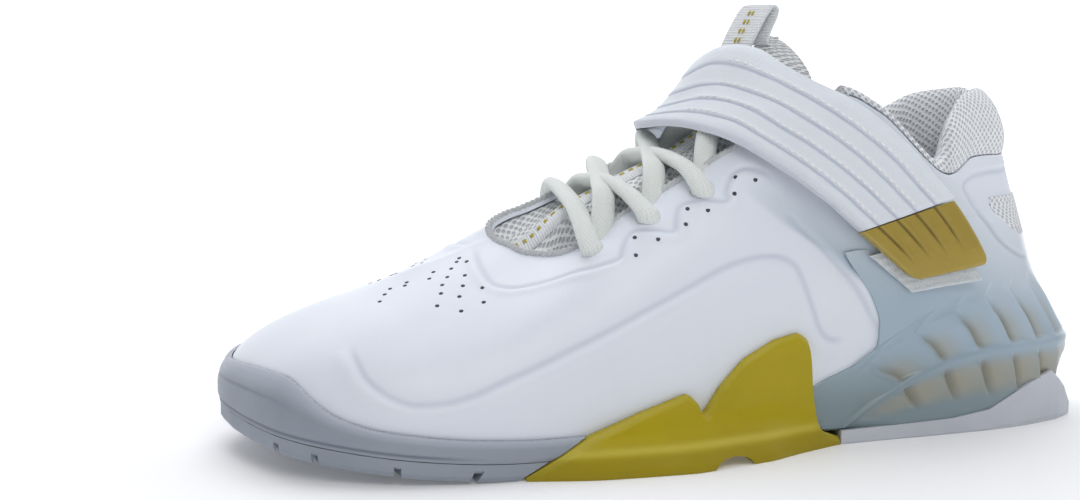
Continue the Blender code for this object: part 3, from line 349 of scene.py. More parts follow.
    def normal(self, theta: Numbers, t: Numbers) -> np.ndarray:
        """Outward unit normals: cross product of steps up and along."""
        low, high = np.clip(np.asarray(t) - 0.01, 0, 1), np.clip(np.asarray(t) + 0.01, 0, 1)
        along = self.point(np.asarray(theta) + 0.03, t) - self.point(np.asarray(theta) - 0.03, t)
        return unit(np.cross(self.point(theta, high) - self.point(theta, low), along))

    def skin(self, theta: Numbers, t: Numbers, lift: Numbers) -> np.ndarray:
        """Points raised by lift along the normal."""
        return self.point(theta, t) + np.asarray(lift, float)[..., None] * self.normal(theta, t)

    def t_at(self, theta: Numbers, z: Numbers) -> np.ndarray:
        """Share t where each column reaches height z, by repeated halving."""
        theta, z = np.broadcast_arrays(np.asarray(theta, float), np.asarray(z, float))
        low, high = np.zeros(theta.shape), np.ones(theta.shape)
        for _ in range(self.halvings):
            middle = (low + high) / 2
            under = self.point(theta, middle)[..., 2] < z
            low, high = np.where(under, middle, low), np.where(under, high, middle)
        return np.where(z <= self.bed(theta), 0.0, (low + high) / 2)

    def wall(self, theta: Numbers, z: Numbers, lift: Numbers) -> np.ndarray:
        """The side at height z, carried straight down below the feather."""
        theta, z, lift = np.broadcast_arrays(*(np.asarray(v, float) for v in (theta, z, lift)))
        point = self.point(theta, self.t_at(theta, z))
        point[..., :2] += lift[..., None] * self.plan_normal(theta)
        point[..., 2] = z
        return point

    def station_at(self, x: np.ndarray, side: Side) -> np.ndarray:
        """Station where the outline reaches x on one side."""
        stations = np.linspace(0.2, STATIONS, 400)
        return np.interp(x, self.outline(self.theta(stations, side))[:, 0], stations)

    def eyelet(self, index: int, side: Side) -> tuple[np.ndarray, np.ndarray]:
        """Centre and outward normal of an eyelet."""
        stations = np.linspace(4.2, 9.5, 160)
        xs = self.point(self.theta(stations, side), self.eyelet_t)[:, 0]
        theta = self.theta(np.interp(self.eyelets[index] * LENGTH, xs, stations), side)
        return self.point(theta, self.eyelet_t), self.normal(theta, self.eyelet_t)


LAST = Last()


# Meshes

@dataclass
class Body:
    """Grids of points that share their edges and close into one surface.

    Points closer than weld become one, edges past sharp degrees stay hard, and outward
    says whether the body is closed and its faces can be turned out.
    """

    name: str
    weld: float = 2e-5
    sharp: float = 60.0
    outward: bool = True
    points: list = field(default_factory=list)
    faces: list = field(default_factory=list)
    maps: list = field(default_factory=list)
    marks: dict = field(default_factory=dict)
    total: int = 0

    def grid(self, points: np.ndarray, loop: bool = False, uv: np.ndarray | None = None,
             **marks: np.ndarray) -> "Body":
        """Add a grid of quads.

        Args:
            points: rows by columns by 3.
            loop: whether the last row joins the first.
            uv: a map in metres; by default the run along both axes.
            marks: point values by name.

        Returns:
            The body itself.
        """
        points = np.asarray(points, float)
        if loop:
            points = np.concatenate([points, points[:1]])
            marks = {k: np.concatenate([v, v[:1]]) for k, v in marks.items()}
        rows, columns = points.shape[:2]
        if uv is None:
            along = np.linalg.norm(np.diff(points, axis=0), axis=-1).mean(1)
            across = np.linalg.norm(np.diff(points, axis=1), axis=-1)
            u = np.concatenate([[0], np.cumsum(along)])[:, None] + np.zeros((1, columns))
            v = np.concatenate([np.zeros((rows, 1)), np.cumsum(across, 1)], 1)
            uv = np.stack([u, v], -1)
        i = np.arange(rows - 1)[:, None] * columns + np.arange(columns - 1)[None, :]
        i = i.ravel() + self.total
        self.faces.append(np.stack([i, i + 1, i + columns + 1, i + columns], -1))
        self.points.append(points.reshape(-1, 3))
        self.maps.append(uv.reshape(-1, 2))
        for name, value in marks.items():
            store = self.marks.setdefault(name, [])
            store.append((self.total, np.broadcast_to(value, (rows, columns)).ravel()))
        self.total += rows * columns
        return self

    def slab(self, inner: np.ndarray, outer: np.ndarray, **marks: np.ndarray) -> "Body":
        """Add a solid between two grids of equal size."""
        self.grid(inner, **marks).grid(outer, **marks)
        for end in (0, (slice(None), 0), -1, (slice(None), -1)):
            side = {k: np.stack([v[end]] * 2) for k, v in marks.items()}
            self.grid(np.stack([inner[end], outer[end]]), **side)
        return self

    def build(self, material: bpy.types.Material) -> bpy.types.Object:
        """Put the arrays into a mesh, weld it and turn its faces outwards.

        Args:
            material: what it wears.

        Returns:
            The object, which sits at the origin.
        """
        points = np.concatenate(self.points) - (HEEL_CENTRE, 0, 0)
        faces = np.concatenate(self.faces).astype(np.int32)
        mesh = bpy.data.meshes.new(self.name)
        mesh.vertices.add(len(points))
        mesh.vertices.foreach_set("co", points.ravel())
        mesh.loops.add(faces.size)
        mesh.loops.foreach_set("vertex_index", faces.ravel())
        mesh.polygons.add(len(faces))
        mesh.polygons.foreach_set("loop_start", np.arange(len(faces), dtype=np.int32) * 4)
        mesh.update(calc_edges=True)
        layer = mesh.uv_layers.new(name="run")
        layer.uv.foreach_set("vector", np.concatenate(self.maps)[faces.ravel()].ravel())
        for name, parts in self.marks.items():
            values = np.zeros(len(points), np.float32)
            for start, part in parts:
                values[start:start + len(part)] = part
            mesh.attributes.new(name, "FLOAT", "POINT").data.foreach_set("value", values)
        work = bmesh.new()
        work.from_mesh(mesh)
        bmesh.ops.remove_doubles(work, verts=work.verts, dist=self.weld)
        bmesh.ops.dissolve_degenerate(work, dist=1e-6, edges=work.edges)
        if self.outward:
            bmesh.ops.recalc_face_normals(work, faces=work.faces)
        work.to_mesh(mesh)
        work.free()
        mesh.materials.append(material)
        mesh.shade_smooth()
        mesh.set_sharp_from_angle(angle=math.radians(self.sharp))
        thing = bpy.data.objects.new(self.name, mesh)
        bpy.context.scene.collection.objects.link(thing)
        return thing


def place(body: Body, finish: "Finish", *nodes: str) -> bpy.types.Object:
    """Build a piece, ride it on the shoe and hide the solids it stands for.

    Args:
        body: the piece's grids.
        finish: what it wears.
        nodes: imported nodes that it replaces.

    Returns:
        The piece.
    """
    thing = body.build(finish.make())
    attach(thing, "root")
    if nodes:
        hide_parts(*nodes)
    LOG.info("%s: %d faces, stands for %s", thing.name, len(thing.data.polygons), nodes)
    return thing


def surface_normal(points: np.ndarray) -> np.ndarray:
    """Unit normals of a grid, turned away from the shoe's axis."""
    n = unit(np.cross(np.gradient(points, axis=0), np.gradient(points, axis=1)))
    return n * np.sign(((points - axis_at(points)) * n).sum(-1, keepdims=True))


def axis_at(points: np.ndarray) -> np.ndarray:
    """Points of the shoe's inner axis level with the given ones."""
    x = points[..., 0]
    height = np.interp(x / LENGTH, (0.0, 0.42, 0.72), (0.50, 0.50, 0.24)) * HEIGHT
    return np.stack([x, np.full(x.shape, -0.028 * WIDTH), height], -1)


def settled(node: bpy.types.Object, nominal: np.ndarray, outermost: bool) -> np.ndarray:
    """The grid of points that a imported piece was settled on.

    Each nominal point moved along its ray from the axis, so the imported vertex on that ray
    gives its place.

    Args:
        node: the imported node.
        nominal: the grid before it was settled.
        outermost: whether the face wanted is the outer one.

    Returns:
        The settled grid.
    """
    co = np.empty(len(node.data.vertices) * 3)
    node.data.vertices.foreach_get("co", co)
    co = co.reshape(-1, 3) + (HEEL_CENTRE, 0, 0)
    centre = axis_at(nominal).reshape(-1, 1, 3)
    way = unit(nominal.reshape(-1, 1, 3) - centre)
    rel = co[None] - centre
    along = (rel * way).sum(-1)
    off = np.linalg.norm(rel - along[..., None] * way, axis=-1)
    off = np.where(along > 0, off, 1.0)
    good = off < np.maximum(off.min(1, keepdims=True) + 1e-5, 5e-5)
    pick = np.where(good, along, -1.0 if outermost else 1.0)
    radius = pick.max(1) if outermost else pick.min(1)
    return (centre[:, 0] + way[:, 0] * radius[:, None]).reshape(nominal.shape)


# Finishes

@dataclass
class Wiring:
    """A node tree and short ways to add to it."""

    tree: bpy.types.NodeTree

    def node(self, kind: str, **values: object) -> bpy.types.Node:
        """Add a node and set its properties."""
        made = self.tree.nodes.new(kind)
        for name, value in values.items():
            setattr(made, name, value)
        return made

    def put(self, socket: bpy.types.NodeSocket, value: object) -> None:
        """Link a socket, or set a plain value on it."""
        if isinstance(value, bpy.types.NodeSocket):
            self.tree.links.new(value, socket)
        else:
            socket.default_value = value

    def math(self, operation: str, a: object, b: object = 0.0,
             c: object = 0.0) -> bpy.types.NodeSocket:
        """A Math node's result."""
        made = self.node("ShaderNodeMath", operation=operation)
        for socket, value in zip(made.inputs, (a, b, c)):
            self.put(socket, value)
        return made.outputs[0]

    def ramp(self, value: object, low: float, high: float) -> bpy.types.NodeSocket:
        """Smooth 0 to 1 between low and high."""
        made = self.node("ShaderNodeMapRange", interpolation_type="SMOOTHSTEP")
        for socket, v in zip(made.inputs, (value, low, high, 0.0, 1.0)):
            self.put(socket, v)
        return made.outputs[0]

    def mix(self, factor: object, a: object, b: object) -> bpy.types.NodeSocket:
        """A mix of two colours."""
        made = self.node("ShaderNodeMix", data_type="RGBA")
        self.put(made.inputs["Factor"], factor)
        self.put(made.inputs["A"], a)
        self.put(made.inputs["B"], b)
        return made.outputs["Result"]

    def noise(self, vector: object, scale: float, detail: float = 2.0) -> bpy.types.NodeSocket:
        """Fractal noise at a scale in turns a metre."""
        made = self.node("ShaderNodeTexNoise")
        self.put(made.inputs["Vector"], vector)
        made.inputs["Scale"].default_value = scale
        made.inputs["Detail"].default_value = detail
        return made.outputs["Fac"]

    def scaled(self, vector: object, scale: object, turn: float = 0.0) -> bpy.types.NodeSocket:
        """A vector times a scale, turned about Z."""
        made = self.node("ShaderNodeVectorMath", operation="SCALE")
        self.put(made.inputs[0], vector)
        self.put(made.inputs["Scale"], scale)
        if not turn:
            return made.outputs[0]
        spin = self.node("ShaderNodeVectorRotate", rotation_type="Z_AXIS")
        self.put(spin.inputs["Vector"], made.outputs[0])
        spin.inputs["Angle"].default_value = turn
        return spin.outputs[0]


def pattern_group(pattern: Pattern) -> bpy.types.NodeTree:
    """The node group of a pattern, built once.

    Inputs are Vector and Scale in repeats a metre; outputs are Height and Mask, 0 to 1.

    Args:
        pattern: which one.

    Returns:
        The group.
    """
    name = pattern.value.replace(" ", "_")
    if name in bpy.data.node_groups:
        return bpy.data.node_groups[name]
    group = bpy.data.node_groups.new(name, "ShaderNodeTree")
    face = group.interface
    for label, way, kind in (("Vector", "INPUT", "Vector"), ("Scale", "INPUT", "Float"),
                             ("Height", "OUTPUT", "Float"), ("Mask", "OUTPUT", "Float")):
        face.new_socket(name=label, in_out=way, socket_type="NodeSocket" + kind)
    w = Wiring(group)
    given = w.node("NodeGroupInput")
    result = w.node("NodeGroupOutput")
    vector, scale = given.outputs["Vector"], given.outputs["Scale"]
    if pattern in (Pattern.GRAIN, Pattern.RUBBER, Pattern.FUZZ):
        body = w.scaled(vector, scale)
        cells = w.node("ShaderNodeTexVoronoi", feature="SMOOTH_F1" if pattern is Pattern.GRAIN
                       else "F1")
        w.put(cells.inputs["Vector"], body)
        cells.inputs["Scale"].default_value = 1.0
        rough = w.noise(body, 1.7, 4.0)
        share = {Pattern.GRAIN: 0.55, Pattern.RUBBER: 0.2, Pattern.FUZZ: 0.35}[pattern]
        height = w.math("ADD", w.math("MULTIPLY", cells.outputs["Distance"], share),
                        w.math("MULTIPLY", rough, 1 - share))
        mask = w.ramp(w.noise(vector, 38.0, 3.0), 0.30, 0.70)
        if pattern is Pattern.FUZZ:
            mask = w.ramp(rough, 0.35, 0.65)
    elif pattern is Pattern.KNIT:
        cells = w.node("ShaderNodeTexVoronoi", voronoi_dimensions="2D")
        w.put(cells.inputs["Vector"], w.scaled(vector, scale, math.radians(45)))
        cells.inputs["Scale"].default_value = 1.0
        cells.inputs["Randomness"].default_value = 0.12
        mask = w.math("SUBTRACT", 1.0, w.ramp(cells.outputs["Distance"], 0.20, 0.40))
        yarn = w.noise(w.scaled(vector, scale), 5.0)
        height = w.math("MULTIPLY_ADD", yarn, 0.25, w.math("SUBTRACT", 1.0, mask))
    else:
        split = w.node("ShaderNodeSeparateXYZ")
        w.put(split.inputs[0], w.scaled(vector, scale))
        x, y = split.outputs[0], split.outputs[1]
        braided = pattern is Pattern.BRAID
        if braided:
            x, y = w.math("ADD", x, y), w.math("SUBTRACT", x, y)
        a, b = (w.math("SINE", w.math("MULTIPLY", run, math.tau)) for run in (x, y))
        peak = w.math("MAXIMUM", a, b) if braided else w.math(
            "ADD", a, w.math("MULTIPLY", b, 0.35))
        height = w.ramp(peak, -1.0, 1.0)
        mask = w.math("SUBTRACT", 1.0, height)
    w.put(result.inputs["Height"], height)
    w.put(result.inputs["Mask"], mask)
    return group


def tone_group() -> bpy.types.NodeTree:
    """Node group that tints a colour unevenly, as use and light handling leave it.

    Inputs are Colour, Tint, Amount and Vector; the output is Colour.

    Returns:
        The group.
    """
    if "uneven_tone" in bpy.data.node_groups:
        return bpy.data.node_groups["uneven_tone"]
    group = bpy.data.node_groups.new("uneven_tone", "ShaderNodeTree")
    face = group.interface
    for name, kind in (("Colour", "NodeSocketColor"), ("Tint", "NodeSocketColor"),
                       ("Amount", "NodeSocketFloat"), ("Vector", "NodeSocketVector")):
        face.new_socket(name=name, in_out="INPUT", socket_type=kind)
    face.new_socket(name="Colour", in_out="OUTPUT", socket_type="NodeSocketColor")
    w = Wiring(group)
    given, result = w.node("NodeGroupInput"), w.node("NodeGroupOutput")
    cloud = w.ramp(w.noise(given.outputs["Vector"], 26.0, 4.0), 0.36, 0.70)
    speck = w.ramp(w.noise(given.outputs["Vector"], 420.0, 2.0), 0.60, 0.78)
    share = w.math("MULTIPLY", w.math("MULTIPLY_ADD", speck, 0.35, cloud),
                   given.outputs["Amount"])
    w.put(result.inputs["Colour"], w.mix(share, given.outputs["Colour"], given.outputs["Tint"]))
    return group


@dataclass(frozen=True)
class Finish:
    """A material: colours, gloss, pattern and the marks painted on a piece's points."""

    name: str
    slot: str
    colour: tuple
    tint: tuple
    pattern: Pattern
    scale: float
    depth: float
    place: Place = Place.OBJECT
    gloss: tuple = (0.45, 0.60)
    pattern_tint: float = 0.25
    cloud: float = 0.25
    marks: tuple = ()
    metallic: float = 0.0
    coat: float = 0.0
    sheen: float = 0.0
    scatter: float = 0.0
    specular: float = 0.5

    @cache
    def make(self) -> bpy.types.Material:
        """Build the material, once.

        Returns:
            The material, with its Principled shader fed by the groups.
        """
        made = bpy.data.materials.new(self.name)
        made.use_nodes = True
        w = Wiring(made.node_tree)
        shader = made.node_tree.nodes["Principled BSDF"]
        given = w.node("ShaderNodeTexCoord")
        vector = given.outputs[self.place.value]
        pattern = w.node("ShaderNodeGroup", node_tree=pattern_group(self.pattern))
        w.put(pattern.inputs["Vector"], vector)
        pattern.inputs["Scale"].default_value = self.scale
        tone = w.node("ShaderNodeGroup", node_tree=tone_group())
        tone.inputs["Colour"].default_value = (*self.colour, 1)
        tone.inputs["Tint"].default_value = (*self.tint, 1)
        tone.inputs["Amount"].default_value = self.cloud
        w.put(tone.inputs["Vector"], given.outputs["Object"])
        colour = w.mix(w.math("MULTIPLY", pattern.outputs["Mask"], self.pattern_tint),
                       tone.outputs["Colour"], (*self.tint, 1))
        for name, paint, amount in self.marks:
            mark = w.node("ShaderNodeAttribute", attribute_name=name)
            colour = w.mix(w.math("MULTIPLY", mark.outputs["Fac"], amount), colour, (*paint, 1))
        w.put(shader.inputs["Base Color"], colour)
        low, high = self.gloss
        w.put(shader.inputs["Roughness"],
              w.math("MULTIPLY_ADD", pattern.outputs["Mask"], high - low, low))
        bump = w.node("ShaderNodeBump")
        bump.inputs["Distance"].default_value = self.depth
        bump.inputs["Strength"].default_value = 1.0
        w.put(bump.inputs["Height"], pattern.outputs["Height"])
        w.put(shader.inputs["Normal"], bump.outputs["Normal"])
        for socket, value in (("Metallic", self.metallic), ("Coat Weight", self.coat),
                              ("Coat Roughness", 0.25), ("Sheen Weight", self.sheen),
                              ("Sheen Roughness", 0.5), ("Subsurface Weight", self.scatter),
                              ("Subsurface Scale", 0.004), ("Specular IOR Level", self.specular)):
            shader.inputs[socket].default_value = value
        return made


EYELET_SHADE = (0.045, 0.045, 0.06)
ICE = (0.36, 0.46, 0.54)
PALE = (0.77, 0.81, 0.875)
# Marks: painted shade, bluish, in the embossed grooves; the cage's icy tone, which under the strap
# is painted shade; painted shade, near-black, in the eyelets.
SYNTHETIC = Finish("white_synthetic", "white_synthetic", (0.77, 0.81, 0.875),
                   (0.68, 0.72, 0.81), Pattern.GRAIN, 1500, 0.00005, gloss=(0.40, 0.52),
                   pattern_tint=0.10, cloud=0.18, coat=0.06,
                   marks=(("crease", (0.48, 0.52, 0.64), 0.5), ("ice", ICE, 1.0),
                          ("hole", EYELET_SHADE, 0.96)))
# Its last mark is painted shadow at the scales' drops and painted shade in the heel panel's groove.
CAGE = Finish("icy_cage", "icy_cage", ICE, (0.30, 0.40, 0.48), Pattern.RUBBER,
              900, 0.00001, gloss=(0.28, 0.36), pattern_tint=0.03, cloud=0.05, coat=0.25,
              marks=(("fade", PALE, 1.0), ("deep", (0.14, 0.19, 0.195), 0.7),
                     ("recess", (0.40, 0.355, 0.24), 0.8), ("crease", (0.11, 0.125, 0.10), 0.7)))
# Its marks: darker towards the bottom, and a painted highlight on the fold and the top lip.
GOLD = Finish("gold_rubber", "gold_rubber", (0.44, 0.345, 0.006), (0.34, 0.26, 0.005),
              Pattern.RUBBER, 1100, 0.00005, gloss=(0.34, 0.48), pattern_tint=0.25, cloud=0.25,
              coat=0.03, specular=0.25,
              marks=(("low", (0.29, 0.22, 0.006), 0.6), ("high", (0.62, 0.53, 0.09), 0.55)))
# Its second mark is painted shade along the cup's moulded lines.
CUP = Finish("pale_blue_rubber", "pale_blue_rubber", (0.31, 0.345, 0.395), (0.23, 0.26, 0.31),
             Pattern.RUBBER, 1000, 0.00005, gloss=(0.48, 0.62), pattern_tint=0.2, cloud=0.35,
             marks=(("rim", (0.46, 0.50, 0.57), 0.8), ("crease", (0.12, 0.14, 0.18), 0.8)))
PLATE = Finish("white_rubber", "white_synthetic", (0.56, 0.58, 0.63), (0.46, 0.48, 0.53),
               Pattern.RUBBER, 900, 0.00005, gloss=(0.42, 0.55), cloud=0.4)
KNIT = Finish("pale_mesh", "pale_mesh", (0.93, 0.95, 0.97), (0.44, 0.46, 0.50), Pattern.KNIT,
              560, 0.0006, Place.MAP, gloss=(0.80, 0.92), pattern_tint=0.65, cloud=0.12,
              sheen=0.35, specular=0.3, marks=(("seam", (0.45, 0.46, 0.48), 0.5),))
TONGUE_KNIT = Finish("tongue_mesh", "pale_mesh", (0.90, 0.92, 0.92), (0.38, 0.40, 0.43),
                     Pattern.KNIT, 460, 0.0007, Place.MAP, gloss=(0.80, 0.92),
                     pattern_tint=0.65, cloud=0.12, sheen=0.35, specular=0.3)
LINER = Finish("sock_liner", "sock_liner", (0.55, 0.57, 0.60), (0.42, 0.44, 0.48), Pattern.FUZZ,
               1200, 0.0002, gloss=(0.85, 0.95), cloud=0.3, sheen=0.3, specular=0.2)
# Its marks: painted shade in the grooves beside the ribs, and painted shade along the lower edge.
STRAPPING = Finish("strap_textile", "white_synthetic", (0.80, 0.84, 0.89), (0.67, 0.71, 0.78),
                   Pattern.WEBBING, 1500, 0.00009, Place.MAP, gloss=(0.62, 0.76),
                   pattern_tint=0.22, cloud=0.2, sheen=0.2,
                   marks=(("crease", (0.46, 0.49, 0.62), 0.75), ("edge", (0.62, 0.64, 0.72), 0.7)))
# Its first mark is painted shade in the grooves.
TAB = Finish("bronze_gold_tab", "bronze_gold_tab", (0.42, 0.305, 0.05), (0.30, 0.215, 0.035),
             Pattern.GRAIN, 900, 0.00022, gloss=(0.36, 0.52), pattern_tint=0.45, cloud=0.35,
             metallic=0.25, coat=0.1,
             marks=(("crease", (0.13, 0.085, 0.015), 0.8), ("edge", (0.50, 0.39, 0.12), 0.5)))
HOOK = Finish("hook_tape", "white_webbing", (0.80, 0.84, 0.87), (0.62, 0.67, 0.71),
              Pattern.FUZZ, 1500, 0.0004, gloss=(0.75, 0.9), pattern_tint=0.5, sheen=0.4)
WEBBING = Finish("white_webbing", "white_webbing", (0.85, 0.87, 0.88), (0.62, 0.64, 0.67),
                 Pattern.WEBBING, 1000, 0.00025, Place.MAP, gloss=(0.75, 0.88),
                 pattern_tint=0.5, sheen=0.3)
CORD = Finish("lace_cord", "lace_cord", (0.82, 0.85, 0.82), (0.60, 0.64, 0.62), Pattern.BRAID,
              880, 0.00014, Place.MAP, gloss=(0.75, 0.88), pattern_tint=0.30, cloud=0.15,
              sheen=0.3)
THREAD = Finish("stitch_thread", "white_webbing", (0.97, 0.97, 0.98), (0.88, 0.88, 0.90),
                Pattern.BRAID, 2500, 0.00005, Place.MAP, gloss=(0.6, 0.7), sheen=0.2)
GILT = Finish("gilt_thread", "bronze_gold_tab", (0.50, 0.42, 0.05), (0.34, 0.27, 0.03),
              Pattern.BRAID, 2500, 0.00005, Place.MAP, gloss=(0.4, 0.55), metallic=0.2)
# Painted shade of the pinholes: near-black discs.
PINHOLE_SHADE = Finish("pinhole", "white_synthetic", (0.07, 0.07, 0.09), (0.03, 0.03, 0.04),
             Pattern.RUBBER, 2000, 0.00002, gloss=(0.8, 0.9))


# Sub-assemblies

@dataclass
class Dots:
    """Many small round beads or pits joined into one mesh."""

    name: str
    centres: np.ndarray
    normals: np.ndarray
    radius: float
    profile: tuple = ((1.0, -0.3), (0.9, 0.06), (0.0, 0.02))
    sides: int = 14

    def body(self) -> Body:
        """Rings of each dot: centre + radius share outward + height share along the normal."""
        n = unit(self.normals)
        side = unit(np.cross(n, (0.03, 0.02, 1.0)))
        angle = np.linspace(0, math.tau, self.sides + 1)[:, None]
        body = Body(self.name, weld=1e-6, outward=False)
        for c, a, b, up in zip(self.centres, side, np.cross(n, side), n):
            ring = np.cos(angle) * a + np.sin(angle) * b
            body.grid(np.stack([c + self.radius * (share * ring + height * up)
                                for share, height in self.profile]))
        return body


@dataclass
class Seam:
    """A run of dashes of thread that lie on a surface along a line."""

    name: str
    pitch: float = 0.0027
    dash: float = 0.0019
    radius: float = 0.00034

    def dashes(self, line: np.ndarray, normals: np.ndarray, lift: float) -> tuple:
        """Centres, directions and normals of the dashes.

        Args:
            line: points along the seam.
            normals: surface normals there.
            lift: how high the dash lies.

        Returns:
            Three arrays, one row for each dash.
        """
        step = np.linalg.norm(np.diff(line, axis=0), axis=1)
        run = np.concatenate([[0], np.cumsum(step)])
        at = np.arange(self.pitch, run[-1] - self.pitch / 2, self.pitch)
        centre = np.stack([np.interp(at, run, line[:, k]) for k in range(3)], 1)
        n = unit(np.stack([np.interp(at, run, normals[:, k]) for k in range(3)], 1))
        d = np.gradient(line, axis=0)
        d = unit(np.stack([np.interp(at, run, d[:, k]) for k in range(3)], 1))
        return centre + n * lift, d, n

    def body(self, runs: list) -> Body:
        """All dashes as spindles: an ellipse section that swells with the sine of the run.

        Args:
            runs: arrays from dashes().

        Returns:
            One joined body.
        """
        centre, d, n = (np.concatenate([r[k] for r in runs]) for k in range(3))
        side = np.cross(d, n)
        s = np.linspace(-1, 1, 6)
        angle = np.linspace(0, math.tau, 7)[None, :, None]
        swell = np.sqrt(np.clip(1 - s ** 2, 0, 1))
        ring = np.cos(angle) * side[:, None] + np.sin(angle) * n[:, None]
        dash = (centre[:, None, None] + d[:, None, None] * (s * self.dash / 2)[None, :, None, None]
                + ring[:, None] * (swell * self.radius)[None, :, None, None])
        body = Body(self.name, weld=1e-7)
        for one in dash:
            body.grid(one)
        return body


@dataclass
class Upper:
    """Moulded upper: fine skin with embossed lines, eyelets, pinholes, and its inner wall."""

    wall: float = 0.0022
    rows: int = 132
    columns: int = 33
    thin: int = 2
    eyelet_depth: float = 0.0019
    eyelet_rim: float = 0.0042
    pin_radius: float = 0.00076
    pin_lift: float = 0.00007
    dish_depth: float = 0.0015
    eyestay: tuple = (
        (161.0, -6.6, 65.2), (161.8, 0.9, 62.6), (161.8, 7.5, 60.2), (160.9, 14.6, 57.2),
        (159.2, 19.2, 55.6), (155.1, 22.9, 55.0), (150.2, 24.6, 55.7), (142.9, 26.7, 57.7),
        (136.2, 29.1, 60.3), (129.4, 31.8, 62.1), (122.2, 32.9, 64.2), (120.3, 31.0, 67.1),
        (118.2, 28.5, 69.9), (115.2, 27.4, 72.2), (110.5, 29.4, 73.0), (103.7, 32.1, 72.4),
        (102.2, 30.4, 75.4), (100.6, 27.8, 78.9), (97.7, 27.2, 81.1), (91.7, 28.4, 82.0),
        (85.6, 30.3, 81.7), (84.7, 29.6, 83.2), (84.7, 28.6, 85.1), (81.4, 26.2, 90.0),
        (77.3, 26.2, 91.8), (71.2, 28.5, 89.9), (67.5, 30.4, 84.8))
    arc: tuple = (
        (206.6, 28.5, 40.2), (206.2, 32.8, 37.3), (204.9, 36.7, 34.3), (203.5, 39.6, 31.7),
        (201.4, 41.8, 29.6), (198.9, 43.5, 27.7), (196.4, 44.9, 26.3), (192.7, 46.5, 24.9),
        (188.9, 47.4, 24.3), (180.3, 48.6, 24.7), (171.1, 49.0, 27.0), (161.7, 48.4, 30.7),
        (154.3, 47.6, 33.2), (141.3, 46.2, 38.5), (128.1, 44.4, 43.7), (114.4, 42.2, 49.7),
        (100.5, 40.0, 55.7), (89.2, 38.2, 60.8), (81.0, 36.9, 63.2), (72.8, 36.0, 64.1),
        (67.0, 35.5, 63.1), (62.8, 35.4, 60.3), (60.4, 35.7, 55.7), (58.6, 35.9, 51.0),
        (56.4, 35.9, 45.0), (54.5, 35.7, 39.9), (51.7, 35.3, 36.3), (47.9, 34.8, 35.1),
        (44.2, 34.4, 36.1))
    rear_line: tuple = (
        (66.0, 33.0, 78.0), (60.0, 33.8, 72.0), (53.5, 34.1, 66.3), (46.0, 34.0, 58.8),
        (39.3, 33.9, 50.1), (34.4, 33.9, 41.6), (31.7, 34.0, 36.0), (33.7, 34.3, 31.0))
    heel_panel: tuple = (
        (-30.0, 6.0, 88.3), (-23.5, 13.1, 87.8), (-13.7, 19.5, 87.8), (-5.0, 24.3, 86.7),
        (-0.5, 27.1, 84.4), (-2.8, 26.6, 80.2), (-9.7, 25.4, 72.7), (-15.7, 24.1, 65.8),
        (-21.5, 22.2, 61.5), (-28.8, 18.7, 58.0), (-36.0, 10.0, 56.0))
    ridge: tuple = ((194.0, -4.0, 53.3), (182.8, -6.4, 57.0), (172.1, -10.0, 61.1),
                    (161.6, -10.4, 66.5), (154.6, -10.9, 70.3))
    pins: tuple = (
        (115.3, 29.7, 70.3), (108.6, 32.7, 69.8), (116.8, 33.7, 65.7), (97.9, 28.6, 79.3),
        (91.2, 31.0, 78.7), (99.2, 31.8, 74.5), (81.0, 27.0, 89.0), (74.5, 28.9, 88.1),
        (82.4, 29.8, 83.5), (194.8, 9.9, 50.4), (193.3, 6.0, 51.6), (190.8, 2.7, 53.0),
        (186.4, 3.9, 54.0), (184.8, 1.8, 54.9), (177.9, 4.6, 56.4), (176.0, 1.2, 57.8),
        (175.1, 11.8, 55.1), (172.8, 7.8, 57.0), (170.7, 3.3, 58.9), (168.4, 0.2, 60.4),
        (167.1, -1.6, 61.4), (178.5, 22.0, 50.1), (176.6, 16.5, 52.9), (170.8, 20.0, 52.6),
        (169.2, 15.4, 55.1), (167.6, 10.4, 57.5), (164.8, 2.7, 60.9), (171.8, 27.0, 49.0),
        (164.4, 25.7, 51.3), (163.1, 19.0, 54.7))
    # The front line runs forward high up, under the strap, where the icy tone is painted shade.
    ice_front: tuple = ((0.098, 0.0755, 0.0735, 0.0805, 0.096, 0.112, 0.124),
                        (0.020, 0.031, 0.036, 0.050, 0.064, 0.074, 0.084))
    ice_fade: tuple = (0.098, 0.042)
    under_strap: tuple = ((72.0, 27.5, 91.0), (60.0, 31.5, 81.0), (51.0, 33.5, 71.5),
                          (44.0, 34.0, 63.0), (37.0, 34.0, 55.0))

    def relief(self, p: np.ndarray, n: np.ndarray) -> tuple[np.ndarray, np.ndarray]:
        """Height of the embossing and depth of its creases on the outer side.

        A groove is minus depth times a bell curve over the line; a soft shoulder beside it
        has its middle off the line. The strap presses a dish.

        Args:
            p: surface points.
            n: their normals.

        Returns:
            Displacement in metres, and the amount of painted shade in the grooves, 0 to 1.
        """
        lift, crease = np.zeros(p.shape[:-1]), np.zeros(p.shape[:-1])
        for line, depth, width, shoulder, off in (
                (self.eyestay, 0.00050, 0.00085, 0.00055, 0.0024),
                (self.arc, 0.00042, 0.00100, 0.00070, 0.0034),
                (self.rear_line, 0.00045, 0.00100, 0.00030, -0.0024),
                (self.heel_panel, 0.00045, 0.00090, 0.00030, 0.0022)):
            d, share = line_field(p, n, line)
            ends = smooth(0, 0.05, share) * smooth(1, 0.95, share)
            groove = bump(d, width) * ends
            lift += shoulder * bump(d, 0.8 * off, off) * ends - depth * groove
            # The grooves' mask also paints shade into them.
            crease = np.maximum(crease, groove)
        d, share = line_field(p, n, self.ridge)
        lift += 0.0011 * bump(d, 0.0045) * smooth(0, 0.3, share)
        d, share = line_field(p, n, self.under_strap)
        lift -= self.dish_depth * bump(d, 0.006) * smooth(0, 0.15, share) * smooth(1, 0.8, share)
        return lift, crease

